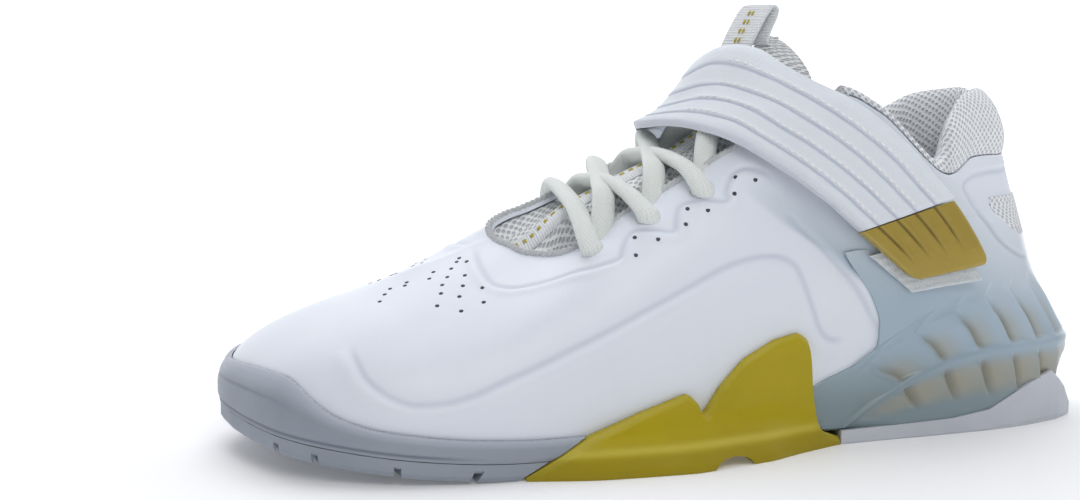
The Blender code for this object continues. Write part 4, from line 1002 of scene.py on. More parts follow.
    def eyelets(self, p: np.ndarray, side: Side) -> tuple[np.ndarray, np.ndarray]:
        """Dents, raised rims and painted shade of the three eyelets in view on one side.

        Args:
            p: surface points of that side.
            side: which side.

        Returns:
            Displacement in metres, and the amount of painted shade in the eyelets, 0 to 1.
        """
        lift, hole = np.zeros(p.shape[:-1]), np.zeros(p.shape[:-1])
        for k in range(len(LAST.eyelets)):
            d = np.linalg.norm(p - LAST.eyelet(k, side)[0], axis=-1)
            lift += 0.00035 * bump(d, 0.0011, self.eyelet_rim)
            lift -= self.eyelet_depth * smooth(0.0031, 0.0018, d)
            # Painted shade, near-black, fills each eyelet.
            hole = np.maximum(hole, smooth(0.0026, 0.0019, d))
        return lift, hole

    def icy_tone_and_shade(self, p: np.ndarray) -> np.ndarray:
        """Amount 0 to 1 of the icy tone that rises from the cage behind its front line; high and
        forward, under the strap, it is painted shade.
        """
        front = np.interp(p[..., 2], self.ice_front[1], self.ice_front[0])
        return smooth(0.001, -0.003, p[..., 0] - front) * smooth(*self.ice_fade, icy_level(p))

    def both(self, value: np.ndarray) -> np.ndarray:
        """A field of the outer side, followed by its softened mirror on the inner side."""
        soft = np.pad(value, ((2, 2), (0, 0)), "edge")
        soft = (soft[:-4] + 2 * soft[1:-3] + 2 * soft[2:-2] + 2 * soft[3:-1] + soft[4:]) / 8
        return np.concatenate([value, soft[::self.thin][1:-1][::-1]])

    def build(self) -> None:
        """Make the skin with its inner wall, the discs of painted shade at the pinholes and the
        throat's binding.
        """
        s = np.linspace(0, STATIONS, STATIONS * self.columns + 1)[:, None]
        t = np.linspace(0, 1, self.rows)
        p, n = LAST.point(s, t), LAST.normal(s, t)
        lift, crease = self.relief(p, n)
        lift += 0.0003 * np.sin(p[..., 0] * 95) * np.sin(p[..., 2] * 120) * smooth(0, 0.3, t)
        nearest = []
        for pin in packed(self.pins):
            d = np.linalg.norm(p - pin, axis=-1)
            lift -= 0.00012 * bump(d, 0.0015)
            nearest.append(np.unravel_index(d.argmin(), d.shape))
        dented = p + n * lift[..., None]
        far = 2 * STATIONS - s[::self.thin][1:-1][::-1]
        far_p, far_n = LAST.point(far, t), LAST.normal(far, t)
        dents, holes = zip(self.eyelets(p, Side.OUTER), self.eyelets(far_p, Side.INNER))
        lift = self.both(lift) + np.concatenate(dents)
        points = np.concatenate([p, far_p]) + lift[..., None] * np.concatenate([n, far_n])
        inside = LAST.skin(np.concatenate([s, far]), np.linspace(0, 1, 14), -self.wall)
        shell = Body("upper_skin").grid(points, loop=True, crease=self.both(crease),
                                        hole=np.concatenate(holes), ice=self.both(self.icy_tone_and_shade(p)))
        shell.grid(inside, loop=True)
        for row in (0, -1):
            shell.grid(np.stack([points[:, row], inside[:, row]], 1), loop=True)
        place(shell, SYNTHETIC, "upper")
        self.build_pinholes(s[:, 0], t, tuple(zip(*nearest)), dented, n)
        self.build_binding()

    def build_pinholes(self, s: np.ndarray, t: np.ndarray, at: tuple, skin: np.ndarray,
                       n: np.ndarray) -> None:
        """Dark discs of painted shade over the dents of the skin, on both sides.

        Args:
            s: stations of the outer grid.
            t: its shares.
            at: row and column of the grid point at each pinhole.
            skin: the embossed grid.
            n: its normals.
        """
        theta, t = LAST.theta(s[list(at[0])], Side.INNER), t[list(at[1])]
        centres = np.concatenate([skin[at], LAST.point(theta, t)])
        normals = np.concatenate([n[at], LAST.normal(theta, t)])
        dots = Dots("pinholes", centres + normals * self.pin_lift, normals, self.pin_radius)
        place(dots.body(), PINHOLE_SHADE)

    def build_binding(self) -> None:
        """Knurled cord round the throat's edge."""
        s = np.linspace(4.6, STATIONS, 420)
        outer, inner = (LAST.skin(LAST.theta(s, side), 0.995, 0.0001) for side in Side)
        path = np.concatenate([outer, inner[::-1][1:]])
        place(Cord("throat_binding", path, 0.0019, 0.0019, twist=0.00022,
                   lie=(0.0, 0.2, 1.0)).body(), WEBBING)


@dataclass
class Cord:
    """An oval cord carried along a path, closed at its ends."""

    name: str
    path: np.ndarray
    width: float = 0.0079
    height: float = 0.0049
    sides: int = 20
    twist: float = 0.0
    lie: tuple = (0.9, 0.0, 0.44)

    def body(self) -> Body:
        """This cord as a body of its own."""
        body = Body(self.name)
        self.add(body)
        return body

    def add(self, body: Body) -> None:
        """Add this cord's skin: side cos(a) w/2 + normal sin(a) h/2, width along lie.

        Args:
            body: where the grids go.
        """
        path = self.path
        d = unit(np.gradient(path, axis=0))
        lie = np.array(self.lie)
        side = unit(lie - (d @ lie)[:, None] * d)
        n = np.cross(d, side)
        run = np.concatenate([[0], np.cumsum(np.linalg.norm(np.diff(path, axis=0), axis=1))])
        angle = np.linspace(0, math.tau, self.sides + 1)
        swell = 1 + self.twist / (self.width / 2) * np.sin(angle[None] * 2 + run[:, None] * 3200)
        c, s = np.cos(angle), np.sin(angle)
        c, s = np.sign(c) * np.abs(c) ** 0.85, np.sign(s) * np.abs(s) ** 0.9
        rings = (path[:, None] + side[:, None] * (c * swell)[..., None] * self.width / 2
                 + n[:, None] * (s * swell)[..., None] * self.height / 2)
        uv = np.stack(np.broadcast_arrays((angle / math.tau * 0.0194)[None], run[:, None]), -1)
        body.grid(rings, uv=uv)
        for end in (0, -1):
            body.grid(np.stack([rings[end], np.repeat(path[end][None], len(angle), 0)]))


@dataclass
class Laces:
    """The bar and three crossings, run down through the eyelets."""

    bar: tuple = ((129.7, 18.3, 74.0), (129.6, 8.8, 78.4), (129.5, -2.5, 81.0),
                  (129.4, -13.9, 82.8), (129.3, -24.2, 82.9))
    crossings: tuple = (
        ((121.8, -17.3, 83.7), (119.7, -8.8, 85.7), (117.6, 1.0, 86.4), (115.4, 11.0, 85.2),
         (113.3, 20.0, 82.4)),
        ((122.1, 15.7, 80.5), (119.8, 5.2, 85.1), (117.5, -6.1, 87.9), (115.2, -17.4, 90.5),
         (112.9, -26.6, 89.6)),
        ((104.1, -18.1, 91.7), (101.9, -9.3, 94.0), (99.7, 0.9, 94.8), (97.4, 11.5, 94.0),
         (95.2, 21.3, 91.5)),
        ((104.8, 15.4, 89.0), (102.3, 5.9, 93.2), (99.8, -4.9, 96.2), (97.3, -16.5, 99.1),
         (94.8, -26.5, 98.2)),
        ((86.6, -18.6, 100.4), (83.3, -12.5, 104.8), (80.1, -5.3, 109.0), (76.8, 2.6, 110.7),
         (73.6, 10.1, 110.1), (70.3, 16.1, 106.5)),
        ((87.2, 16.0, 97.9), (83.7, 9.6, 103.5), (80.3, 2.4, 109.4), (76.8, -5.4, 112.9),
         (73.4, -12.7, 113.1), (69.9, -18.7, 111.3)))
    bar_over: float = 0.0012
    crossing_over: float = 0.0016
    sunk: float = 0.0036
    tucked: float = 0.0055
    count: int = 90

    def dive(self, index: int, side: Side, *depths: float) -> list[np.ndarray]:
        """Points under an eyelet, at depths along its normal."""
        centre, n = LAST.eyelet(index, side)
        return [centre - n * depth for depth in depths]

    def build(self) -> None:
        """Carry each cord over the tongue and down into its eyelet.

        The last crossing runs under the strap instead, to points of its own.
        """
        bar = [*self.dive(0, Side.OUTER, self.sunk, -self.bar_over), *packed(self.bar),
               *self.dive(0, Side.INNER, -self.bar_over, self.sunk)]
        place(Cord("lace_bar", curve(bar, self.count)).body(), CORD, "lace_1")
        for k in range(len(LAST.eyelets)):
            body = Body(f"lace_cross_{k + 1}")
            for points, side, other in zip(self.crossings[2 * k:2 * k + 2], Side,
                                           reversed(Side)):
                path = [*self.dive(k, other, self.tucked), *packed(points)]
                if k + 1 < len(LAST.eyelets):
                    path += self.dive(k + 1, side, -self.crossing_over, self.sunk)
                Cord(body.name, curve(path, self.count)).add(body)
            place(body, CORD, f"lace_{k + 2}")


@dataclass
class Tongue:
    """Padded tongue with its webbing strip, and the pull loop."""

    rows: tuple = (
        (0.686, 0.545, 0.130, 0.020, 0.00, 0.30), (0.660, 0.565, 0.165, 0.040, 0.00, 0.45),
        (0.627, 0.610, 0.195, 0.070, 0.00, 0.70), (0.593, 0.655, 0.213, 0.095, 0.00, 0.90),
        (0.560, 0.702, 0.222, 0.110, 0.00, 1.00), (0.527, 0.746, 0.227, 0.115, 0.00, 1.00),
        (0.493, 0.786, 0.227, 0.115, 0.00, 1.00), (0.463, 0.824, 0.227, 0.110, 0.00, 1.00),
        (0.436, 0.865, 0.215, 0.110, 0.03, 1.00), (0.412, 0.915, 0.200, 0.100, 0.07, 1.00),
        (0.396, 0.970, 0.182, 0.090, 0.11, 1.00), (0.385, 1.035, 0.170, 0.085, 0.15, 1.00),
        (0.366, 1.110, 0.157, 0.085, 0.17, 0.90), (0.343, 1.168, 0.120, 0.060, 0.13, 0.60))
    middle: float = -0.028
    thickness: float = 0.006
    loop: tuple = (
        (74.7, 117.9), (73.8, 121.1), (72.7, 124.3), (71.4, 127.6), (69.9, 130.8), (68.4, 134.1),
        (66.7, 137.3), (65.0, 140.4), (63.4, 142.8), (62.1, 144.2), (60.9, 144.3), (60.2, 143.0),
        (60.8, 140.7), (62.0, 138.1), (63.1, 135.5), (63.7, 133.3), (63.8, 131.3))
    loop_turn: float = math.radians(30)
    loop_width: float = 0.013
    counts: tuple = (200, 90)
    dome_start: float = 0.83
    dome_power: float = 2.8
    tape: tuple = (slice(8, 150), slice(31, 59))

    def face(self, node: bpy.types.Object) -> np.ndarray:
        """The outer face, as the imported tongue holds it."""
        x, z, half, drop, sweep, _ = np.array(self.rows).T[:, :, None]
        v = np.linspace(-1, 1, 9)[None, :]
        nominal = np.stack([x * LENGTH - sweep * WIDTH * v ** 2,
                            (self.middle + half * v) * WIDTH,
                            z * HEIGHT - drop * WIDTH * np.abs(v) ** 2.4], -1)
        return settled(node, nominal, outermost=True)

    def build(self, node: bpy.types.Object) -> None:
        """Make the pad, the gusset, the strip down the middle, the loop and their dashes.

        Args:
            node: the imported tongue.
        """
        rows, columns = self.counts
        along, v = np.linspace(0, 1, rows)[:, None], np.linspace(-1, 1, columns)[None, :]
        high = np.clip((along - self.dome_start) / (1 - self.dome_start), 0, 1)
        narrow = np.maximum(1 - high ** self.dome_power, 0.002) ** (1 / self.dome_power)
        half = (columns - 1) / 2
        face = gather(refine(self.face(node), rows, columns), half * (1 + v * narrow))
        n = surface_normal(face)
        thick = curve(np.array(self.rows)[:, 5:6], rows) * self.thickness
        depth = thick * (0.25 + 0.75 * (1 - v ** 4))
        roll = 0.0011 * (1 - v ** 2) * smooth(0.72, 0.9, along)
        pad = Body("tongue_pad").slab(face - n * depth[..., None], face + n * roll[..., None])
        place(pad, TONGUE_KNIT, "tongue")
        self.build_gusset(face)
        seam = Seam("tongue_dashes", 0.0034, 0.0021, 0.00042)
        runs = self.build_tape(face + n * (roll[..., None] + 0.0002), n, seam)
        place(seam.body(runs + self.build_loop(seam)), GILT)

    def build_tape(self, face: np.ndarray, n: np.ndarray, seam: Seam) -> list:
        """Webbing strip down the middle of the pad.

        Args:
            face: the pad's top.
            n: its normals.
            seam: the dashes woven into the strip.

        Returns:
            The dashes' runs.
        """
        strip, n = face[self.tape], n[self.tape]
        bow = (1 - np.linspace(-1, 1, strip.shape[1]) ** 6)[None, :, None] * 0.0007
        place(Body("tongue_tape").slab(strip - n * 0.0001, strip + n * (0.0001 + bow)), WEBBING)
        return [seam.dashes(strip[:, k], n[:, k], 0.0008) for k in (12, 15)]

    def build_loop(self, seam: Seam) -> list:
        """Pull loop, a folded tape turned a little outwards.

        Args:
            seam: the dashes woven into it.

        Returns:
            The dashes' runs.
        """
        x, z = (curve(np.array(self.loop) * MM, 90) + (HEEL_CENTRE, 0)).T
        points = np.stack([x, np.full(90, self.middle * WIDTH), z], -1)
        across = np.array((-math.sin(self.loop_turn), math.cos(self.loop_turn), 0.0))
        normal = unit(np.cross(unit(np.gradient(points, axis=0)), across))
        w = np.linspace(-1, 1, 26)
        face = points[:, None] + across * w[None, :, None] * self.loop_width / 2
        half = normal[:, None] * (0.0007 * (1 - 0.35 * w ** 8)[None, :, None])
        place(Body("pull_loop_tape").slab(face - half, face + half), WEBBING, "pull_loop")
        outward = normal[4:52] * np.sign(normal[5, 0])
        return [seam.dashes(face[4:52, k], outward, 0.00085) for k in (11, 14)]

    def build_gusset(self, face: np.ndarray) -> None:
        """Thin cloth from under the throat's edge onto the tongue, all round its front.

        Args:
            face: the tongue's outer face.
        """
        theta = np.linspace(6.0, 2 * STATIONS - 5.4, 240)
        edge = LAST.skin(theta, 0.985, -0.0026)
        middle = np.stack([np.minimum(edge[:, 0], 0.188), np.full(240, self.middle * WIDTH)], -1)
        target = edge[:, :2] + 0.009 * unit(middle - edge[:, :2])
        flat = face[::2, ::2].reshape(-1, 3)
        near = ((flat[None, :, :2] - target[:, None]) ** 2).sum(-1).argmin(1)
        land = curve(flat[near][::8], 240) - (0, 0, 0.0006)
        w = np.linspace(0, 1, 14)[None, :, None]
        sheet = edge[:, None] * (1 - w) + land[:, None] * w
        sheet = sheet - (0, 0, 1) * (0.0010 * np.sin(w * math.pi))
        place(Body("throat_gusset").slab(sheet - (0, 0, 0.0007), sheet), TONGUE_KNIT)


@dataclass
class Collar:
    """Padded collar: a thin roll along the sides and a tall pad at the heel."""

    rows: tuple = (
        (0.000, 0.93, 1.25, 0.75), (0.333, 0.97, 1.25, 0.72), (0.667, 1.00, 1.25, 0.60),
        (1.000, 1.02, 1.20, 0.45), (1.333, 1.00, 1.20, 0.32), (1.667, 0.96, 1.15, 0.22),
        (2.000, 0.92, 1.10, 0.14), (2.333, 0.90, 1.05, 0.07), (2.667, 0.83, 1.00, 0.0),
        (2.800, 0.68, 0.95, 0.0), (2.900, 0.28, 0.85, 0.0), (3.000, 0.17, 0.75, 0.0),
        (3.333, 0.15, 0.65, 0.0), (3.667, 0.15, 0.60, 0.0), (4.000, 0.15, 0.60, 0.0),
        (4.333, 0.15, 0.60, 0.0), (4.667, 0.14, 0.55, 0.0))
    pad: float = 0.0085
    rise: float = 0.0225
    depth: float = 0.022
    wall: float = 0.0022
    gap: float = 0.0003
    fine: int = 12
    seam_at: float = 0.62
    seam_depth: float = 0.0009

    def rings(self, theta: np.ndarray, rise: np.ndarray, pad: np.ndarray,
              lean: np.ndarray) -> np.ndarray:
        """Points of each ring round the collar's section.

        A ring runs up behind the shell's wall, over its rim, over the pad's top and down
        inside the shoe.

        Args:
            theta: loop parameters of the rings.
            rise: height of the pad over the edge.
            pad: its thickness.
            lean: how far its top leans inwards.

        Returns:
            Rings by points by 3.
        """
        edge = spline(LAST.opening_loop, theta)
        out = np.concatenate([LAST.plan_normal(theta), np.zeros((len(theta), 1))], -1)
        low = LAST.t_at(theta, edge[:, 2] - self.depth)
        half = (low + 1) / 2
        behind = self.wall + 2 * self.gap
        tall = smooth(0.004, 0.014, rise)

        def above(height: Numbers, inward: Numbers) -> np.ndarray:
            """Points over the edge, moved inwards."""
            height, inward = (np.asarray(v)[..., None] for v in (height, inward))
            return edge - out * inward + (0, 0, 1) * height

        return np.stack([
            LAST.skin(theta, low, -behind), LAST.skin(theta, half, -behind),
            LAST.skin(theta, 1.0, -behind), above(2 * self.gap, behind),
            above(2 * self.gap, self.gap),
            above(rise * 0.35, lean * 0.15 - 0.0009 * tall),
            above(rise * 0.75, lean * 0.55 + 0.10 * pad - 0.0006 * tall),
            above(rise, lean + 0.42 * pad), above(rise * 0.90, lean + 0.80 * pad),
            above(rise * 0.55, lean * 0.6 + pad + 0.10 * self.pad),
            above(0.0, pad + behind * 0.6),
            LAST.skin(theta, half, -(behind + 0.60 * pad)),
            LAST.skin(theta, low, -(behind + 0.0012))], 1)

    def build(self) -> None:
        """Loft closed curves through the rings, press the seams and close both ends."""
        s = np.linspace(0, 4.667, 190)
        s = np.concatenate([s[::-1], -s[1:]])
        rise, pad, lean = (v * size for v, size in zip(
            table(self.rows, np.abs(s), soft=0.045), (self.rise, self.pad, self.pad)))
        ring = self.rings(np.where(s < 0, 2 * STATIONS + s, s), rise, pad, lean)
        count, fine = ring.shape[1], self.fine
        at = np.arange(fine * count)
        loft = np.moveaxis(spline(np.moveaxis(ring, 1, 0), at / fine), 0, 1)
        straight = np.moveaxis(curve(np.moveaxis(ring[:, :5], 1, 0), 3 * fine), 0, 1)
        loft[:, :3 * fine] = straight * 0.6 + loft[:, :3 * fine] * 0.4
        seam = bump(np.abs(s), 0.02, self.seam_at)[:, None]
        seam = seam * smooth(4 * fine, 5 * fine, at) * smooth(9 * fine, 8 * fine, at)
        loft = loft - unit(loft - loft.mean(1, keepdims=True)) * (self.seam_depth * seam)[..., None]
        loft, seam = (np.concatenate([v, v[:, :1]], 1) for v in (loft, seam))
        body = Body("collar_pad").grid(loft, seam=seam)
        for end in (0, -1):
            cap = np.repeat(loft[end].mean(0)[None], loft.shape[1], 0)
            body.grid(np.stack([loft[end], cap]))
        place(body, KNIT, "collar_lining")


@dataclass
class Strap:
    """Instep strap of five channels, its gold end tab, the hook tape and the stitching."""

    rows: tuple = (
        (0.225, 0.315, 0.475, 0.135, 0.315, 0.512), (0.289, 0.318, 0.610, 0.176, 0.308, 0.690),
        (0.318, 0.298, 0.665, 0.202, 0.292, 0.755), (0.356, 0.272, 0.725, 0.233, 0.275, 0.825),
        (0.405, 0.225, 0.805, 0.281, 0.240, 0.920), (0.443, 0.140, 0.848, 0.330, 0.155, 1.020),
        (0.470, 0.035, 0.862, 0.380, 0.020, 1.078), (0.491, -0.070, 0.838, 0.418, -0.080, 1.078),
        (0.480, -0.180, 0.800, 0.400, -0.165, 1.040), (0.446, -0.250, 0.735, 0.362, -0.215, 0.970),
        (0.398, -0.280, 0.680, 0.312, -0.235, 0.895), (0.347, -0.285, 0.643, 0.257, -0.240, 0.830))
    ribs: tuple = (0.175, 0.375, 0.575, 0.775)
    thickness: float = 0.0028
    tab_thickness: float = 0.0032
    width: float = 0.037
    corner: float = 0.0042
    stitch_aside: float = 0.0011
    hook_thickness: float = 0.0013
    fine: tuple = (300, 150)
    edge_radius: float = 0.0011
    tip_share: float = 1 / 11
    counts: tuple = (5, 20)
    overhang: tuple = (0.17, 0.10)

    def edges(self) -> np.ndarray:
        """Lower and upper edge points of the table, in metres."""
        return np.array(self.rows).reshape(-1, 2, 3) * (LENGTH, WIDTH, HEIGHT)

    def nominal(self) -> tuple[np.ndarray, np.ndarray]:
        """Unsettled grids of the tab and of the strap."""
        seam = 0.0003 / 2 / (LENGTH / 2)
        shares = np.concatenate([np.linspace(0, self.tip_share - seam, self.counts[0]),
                                 np.linspace(self.tip_share + seam, 1, self.counts[1])])
        run = curve(self.edges(), shares)
        w = np.linspace(0, 1, 9)[None, :, None]
        face = run[:, :1] * (1 - w) + run[:, 1:] * w
        return face[:self.counts[0]], face[self.counts[0]:]

    def profile(self, w: np.ndarray, depth: float) -> tuple[np.ndarray, np.ndarray]:
        """Relief across the strap: terraces that step at each rib, with a groove below it.

        Args:
            w: share across, 0 at the lower edge.
            depth: how deep a groove goes.

        Returns:
            Height added to the thickness, and groove shade.
        """
        lift, groove = np.zeros(w.shape), np.zeros(w.shape)
        for rib in self.ribs:
            d = (w - rib) * self.width
            groove += bump(d, 0.00055)
            lift += 0.00022 * bump(d, 0.0009, 0.0013) + 0.00005 * bump(d, 0.0012, -0.0012)
        return lift - depth * groove, np.clip(groove, 0, 1)

    def build(self, nodes: dict) -> None:
        """Make the band with its stitching, the tab and the hook tape.

        Args:
            nodes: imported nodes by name.
        """
        tip, band = self.nominal()
        self.build_band(settled(nodes["strap"], band, False))
        self.build_tab(settled(nodes["strap_tip"], tip, False))
        self.build_hook(nodes["hook_tape"])

    def build_band(self, under: np.ndarray) -> None:
        """Band of terraces, flat at its root, with a line of stitches beside each rib.

        Args:
            under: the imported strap's under face.
        """
        rows, columns = self.fine
        band = refine(under, rows, columns)
        n = surface_normal(band)
        along = np.linspace(0, 1, rows)[:, None]
        w = np.linspace(0, 1, columns)[None] + 0 * along
        lift, groove = self.profile(w, 0.00038)
        root = smooth(1.0, 0.93, along)
        ripple = 0.00010 * np.sin(w * 2.2 * math.tau + 20 * along)
        roll = self.edge_radius * rounding(np.minimum(w, 1 - w) * self.width, self.edge_radius)
        top = band + n * (self.thickness + (lift + ripple) * root - roll)[..., None]
        # Marks: painted shade in the grooves, and painted shade towards the lower edge.
        body = Body("strap_band").slab(band, top, crease=groove * root, edge=smooth(0.12, 0.0, w))
        place(body, STRAPPING, "strap")
        seam = Seam("strap_stitches")
        half = rows // 2
        at = [int(round((rib + self.stitch_aside / self.width) * (columns - 1)))
              for rib in self.ribs]
        place(seam.body([seam.dashes(top[2:half, k], n[2:half, k], 0.00022) for k in at]), THREAD)

    def build_tab(self, under: np.ndarray) -> None:
        """Gold end with rounded corners, whose grooves stop short of the tip.

        Args:
            under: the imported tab's under face.
        """
        columns = self.fine[1]
        tip = refine(under, 70, columns)
        far = np.linalg.norm(np.diff(tip[:, columns // 2], axis=0), axis=1)
        run = np.concatenate([[0], np.cumsum(far)])[:, None]
        share = self.corner * rounding(run, self.corner) / self.width
        w = share + np.linspace(0, 1, columns)[None] * (1 - 2 * share)
        tip = gather(tip, w * (columns - 1))
        lift, groove = (v * smooth(0.006, 0.016, run) for v in self.profile(w, 0.00055))
        rim = np.minimum(np.minimum(w - share, 1 - share - w) * self.width, run)
        lift = self.tab_thickness + lift - 0.0012 * rounding(rim, self.edge_radius)
        top = tip + surface_normal(tip) * lift[..., None]
        # Painted shade in the grooves.
        body = Body("strap_tab").slab(tip, top, crease=groove, edge=bump(rim, 0.0012))
        place(body, TAB, "strap_tip")

    def build_hook(self, node: bpy.types.Object) -> None:
        """Hook tape under the tab, with a slightly uneven face.

        Args:
            node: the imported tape.
        """
        edges = self.edges()[:2]
        along = unit(edges[1] - edges[0])
        across = unit(edges[0, 0] - edges[0, 1])
        past_tip, past_side = (share * self.width for share in self.overhang)
        start = edges[0] - along * past_tip + across * past_side
        stop = start + (edges[1] - edges[0]) * 0.80
        u = np.linspace(0, 1, 7)[:, None, None]
        run = start * (1 - u) + stop * u
        v = np.linspace(0, 1, 7)[None, :, None]
        under = settled(node, run[:, :1] * (1 - v) + run[:, 1:] * v, False)
        face = refine(under, 80, 80)
        at = np.arange(80)
        fray = 0.000175 * np.sin(at * 2.9)[:, None] * np.sin(at * 1.7)[None]
        top = face + surface_normal(face) * (self.hook_thickness + fray)[..., None]
        place(Body("hook_pad").slab(face, top), HOOK, "hook_tape")


@dataclass
class Sole:
    """Cupsole with toe bumper, gold wrap, icy cage, tread and heel plate."""

    gap: float = 0.0003
    tread: float = 0.0055
    bumper: float = 0.021
    rim: tuple = ((0, 0.0), (7.0, 0.03), (7.6, 0.05), (8.2, 0.07), (8.9, 0.10), (9.3, 0.20),
                  (9.65, 0.42), (9.95, 0.58), (10.4, 0.54), (11, 0.41))
    cup_profile: tuple = ((0.0, 0.78), (0.18, 1.0), (0.45, 0.98), (0.75, 0.82), (1.0, 0.50))
    cup_start: tuple = (0.3413, 0.3360)
    wrap_thickness: float = 0.003
    wrap_arch: tuple = (0.455, 0.024, 0.0034)
    wrap_height: float = 0.0388
    wrap_flare: float = 0.012
    wrap_top: tuple = (
        (0.305, 0.065, 0.065), (0.328, 0.137, 0.137), (0.338, 0.250, 0.170),
        (0.3415, 0.560, 0.200), (0.3455, 0.800, 0.250), (0.352, 0.935, 0.310),
        (0.365, 1.000, 0.420), (0.394, 0.956, 0.560), (0.429, 0.817, 0.660),
        (0.455, 0.600, 0.670), (0.470, 0.412, 0.660), (0.476, 0.374, 0.650),
        (0.481, 0.492, 0.640), (0.494, 0.580, 0.610), (0.550, 0.454, 0.460),
        (0.604, 0.312, 0.310), (0.638, 0.175, 0.175), (0.672, 0.025, 0.025))
    wrap_profile: tuple = ((0.0, 0.70, 0.95), (0.25, 0.80, 1.0), (1.30, 0.90, 0.66),
                           (1.55, 0.92, 0.58), (2.1, 0.95, 0.30), (3.0, 1.0, 0.10),
                           (4.5, 1.0, 0.0), (9.0, 1.0, 0.0))
    wrap_spread: tuple = ((0.305, 0.0, 0.0), (0.37, 0.48, 0.12), (0.405, 0.80, 0.22),
                          (0.50, 1.0, 0.25), (0.60, 0.56, 0.15), (0.672, 0.0, 0.0))
    cage_rows: tuple = (
        (0.04, 0.323, 0.04, 0.8, 0.1, 0.0, 3.2), (0.043, 0.33, 0.096, 0.95, 0.15, 0.0, 3.2),
        (0.046, 0.334, 0.174, 0.98, 0.35, 0.0, 3.2), (0.049, 0.337, 0.248, 1.0, 0.8, 1.0, 3.2),
        (0.053, 0.339, 0.27, 0.88, 0.5, 0.6, 3.2), (0.057, 0.34, 0.317, 0.72, 0.45, 0.0, 3.2),
        (0.065, 0.341, 0.374, 0.42, 0.4, 0.0, 3.0), (0.174, 0.341, 0.426, 0.16, 0.4, 0.0, 2.0),
        (0.227, 0.282, 0.46, 0.06, 0.4, 0.0, 2.2), (0.273, 0.257, 0.496, 0.02, 0.4, 0.0, 2.4),
        (0.357, 0.257, 0.565, 0.0, 0.36, 0.0, 1.8), (0.435, 0.272, 0.608, 0.0, 0.34, 0.0, 1.6),
        (0.565, 0.32, 0.687, 0.0, 0.3, 0.0, 1.6))
    cage_thickness: float = 0.0024
    ribs: int = 9
    rib_rise: float = 0.0028
    rear_fin: float = 0.0035
    window: tuple = ((-13.8, 21.1, 79.3), (-13.9, 22.4, 76.7), (-18.0, 21.7, 71.3),
                     (-22.5, 20.1, 67.9), (-27.9, 17.0, 65.6))
    window_rear: float = 0.30

    def build(self) -> None:
        """Make the cup, the wrap, the cage, the sock liner and the heel's window."""
        self.build_cup()
        self.build_wrap()
        self.build_cage()
        self.build_insole()
        self.build_window()

    def across(self, first: np.ndarray, second: np.ndarray, count: int) -> np.ndarray:
        """Lines between two rows of points, straight but for the sole's spring."""
        w = np.linspace(0, 1, count)[:, None]
        up = np.array((0, 0, 1))
        flat = [side - LAST.spring(side[:, :1]) * up for side in (first, second)]
        lines = flat[0][:, None] * (1 - w) + flat[1][:, None] * w
        return lines + LAST.spring(lines[..., :1]) * up

    def trough(self, body: Body, outer: list, inner: list, marks: list) -> Body:
        """Two side walls joined by a bed and an underside.

        Args:
            body: where the grids go.
            outer: outer faces of the outer and the inner side.
            inner: inner faces in the same order.
            marks: point values of each outer face.

        Returns:
            The body.
        """
        under = self.across(outer[0][:, 0], outer[1][:, 0], 9)
        floor = self.across(inner[0][:, 0], inner[1][:, 0], 9)
        body.grid(under).grid(floor)
        ends = [e for e in (0, -1) if not np.allclose(outer[0][e], outer[1][e], atol=2e-5)]
        for out, ins, mark in zip(outer, inner, marks):
            body.grid(out, **mark).grid(ins)
            body.grid(np.stack([out[:, -1], ins[:, -1]], 1),
                      **{k: np.stack([v[:, -1]] * 2, 1) for k, v in mark.items()})
            for e in ends:
                body.grid(np.stack([out[e], ins[e]], 0))
        for e in ends:
            body.grid(np.stack([under[e], floor[e]], 0))
        return body

    def front_of_wrap(self, z: float) -> float:
        """x of the forefoot's slanted joint with the gold wrap."""
        return 0.678 * LENGTH - 1.85 * z + 4 * self.gap

    def plate_top(self, theta: np.ndarray) -> np.ndarray:
        """Height just over the tread's upper face."""
        return LAST.spring(LAST.outline(theta)[..., 0]) + self.tread + self.gap

    def build_cup(self) -> None:
        """Forefoot cup: flush at the arch, then a rim and the toe bumper."""
        outer, inner, marks = [], [], []
        rows = np.linspace(0, 1, 44)[None]
        thick = table(self.cup_profile, rows, soft=0.05)[0] * LAST.cup_wall
        ledge = bump(rows, 0.05, 0.93)
        ahead = np.repeat((0.0, 1.0), (40, 260))[:, None]
        for side, start in zip(Side, self.cup_start):
            first, low, high = (float(LAST.station_at(x, side)) for x in (
                start * LENGTH, self.front_of_wrap(self.tread),
                self.front_of_wrap(2 * self.tread)))
            middle = (low + high) / 2
            s = np.concatenate([np.linspace(first, middle, 40),
                                np.linspace(middle, STATIONS, 260)])[:, None]
            theta = LAST.theta(s, side)
            bottom, edge = self.plate_top(theta), LAST.bed(theta) - self.gap
            rim = edge + table(self.rim, s, soft=0.12)[0] * self.bumper * ahead
            z = bottom + (rim - bottom) * rows
            near = np.clip(1 - np.abs(s - middle) / 0.9, 0, 1)
            slant = (z - 1.5 * self.tread) / self.tread * (high - low)
            where = LAST.theta(np.minimum(s + slant * near, STATIONS), side)
            z[:, 0] = self.plate_top(where[:, 0])
            # Painted shade, with a shallow dent, along a line low on the toe, and at half strength
            # along a moulded line near the rim.
            crease = bump(z - bottom, 0.0005, 0.0014) * smooth(7.6, 8.4, s)
            line = bump(rows, 0.03, 0.62) * smooth(9.6, 10.4, s)
            lift = thick - 0.00035 * crease + 0.00025 * ledge - 0.0003 * line
            outer.append(LAST.wall(where, z, np.maximum(lift * ahead, 0)))
            inner.append(LAST.wall(where, edge + (rim - edge) * rows, self.gap * ahead))
            marks.append({"crease": np.clip(crease + 0.5 * line, 0, 1) * ahead,
                          "rim": smooth(0.62, 0.98, rows) * ahead})
        place(self.trough(Body("cup_wall"), outer, inner, marks), CUP, "cupsole")

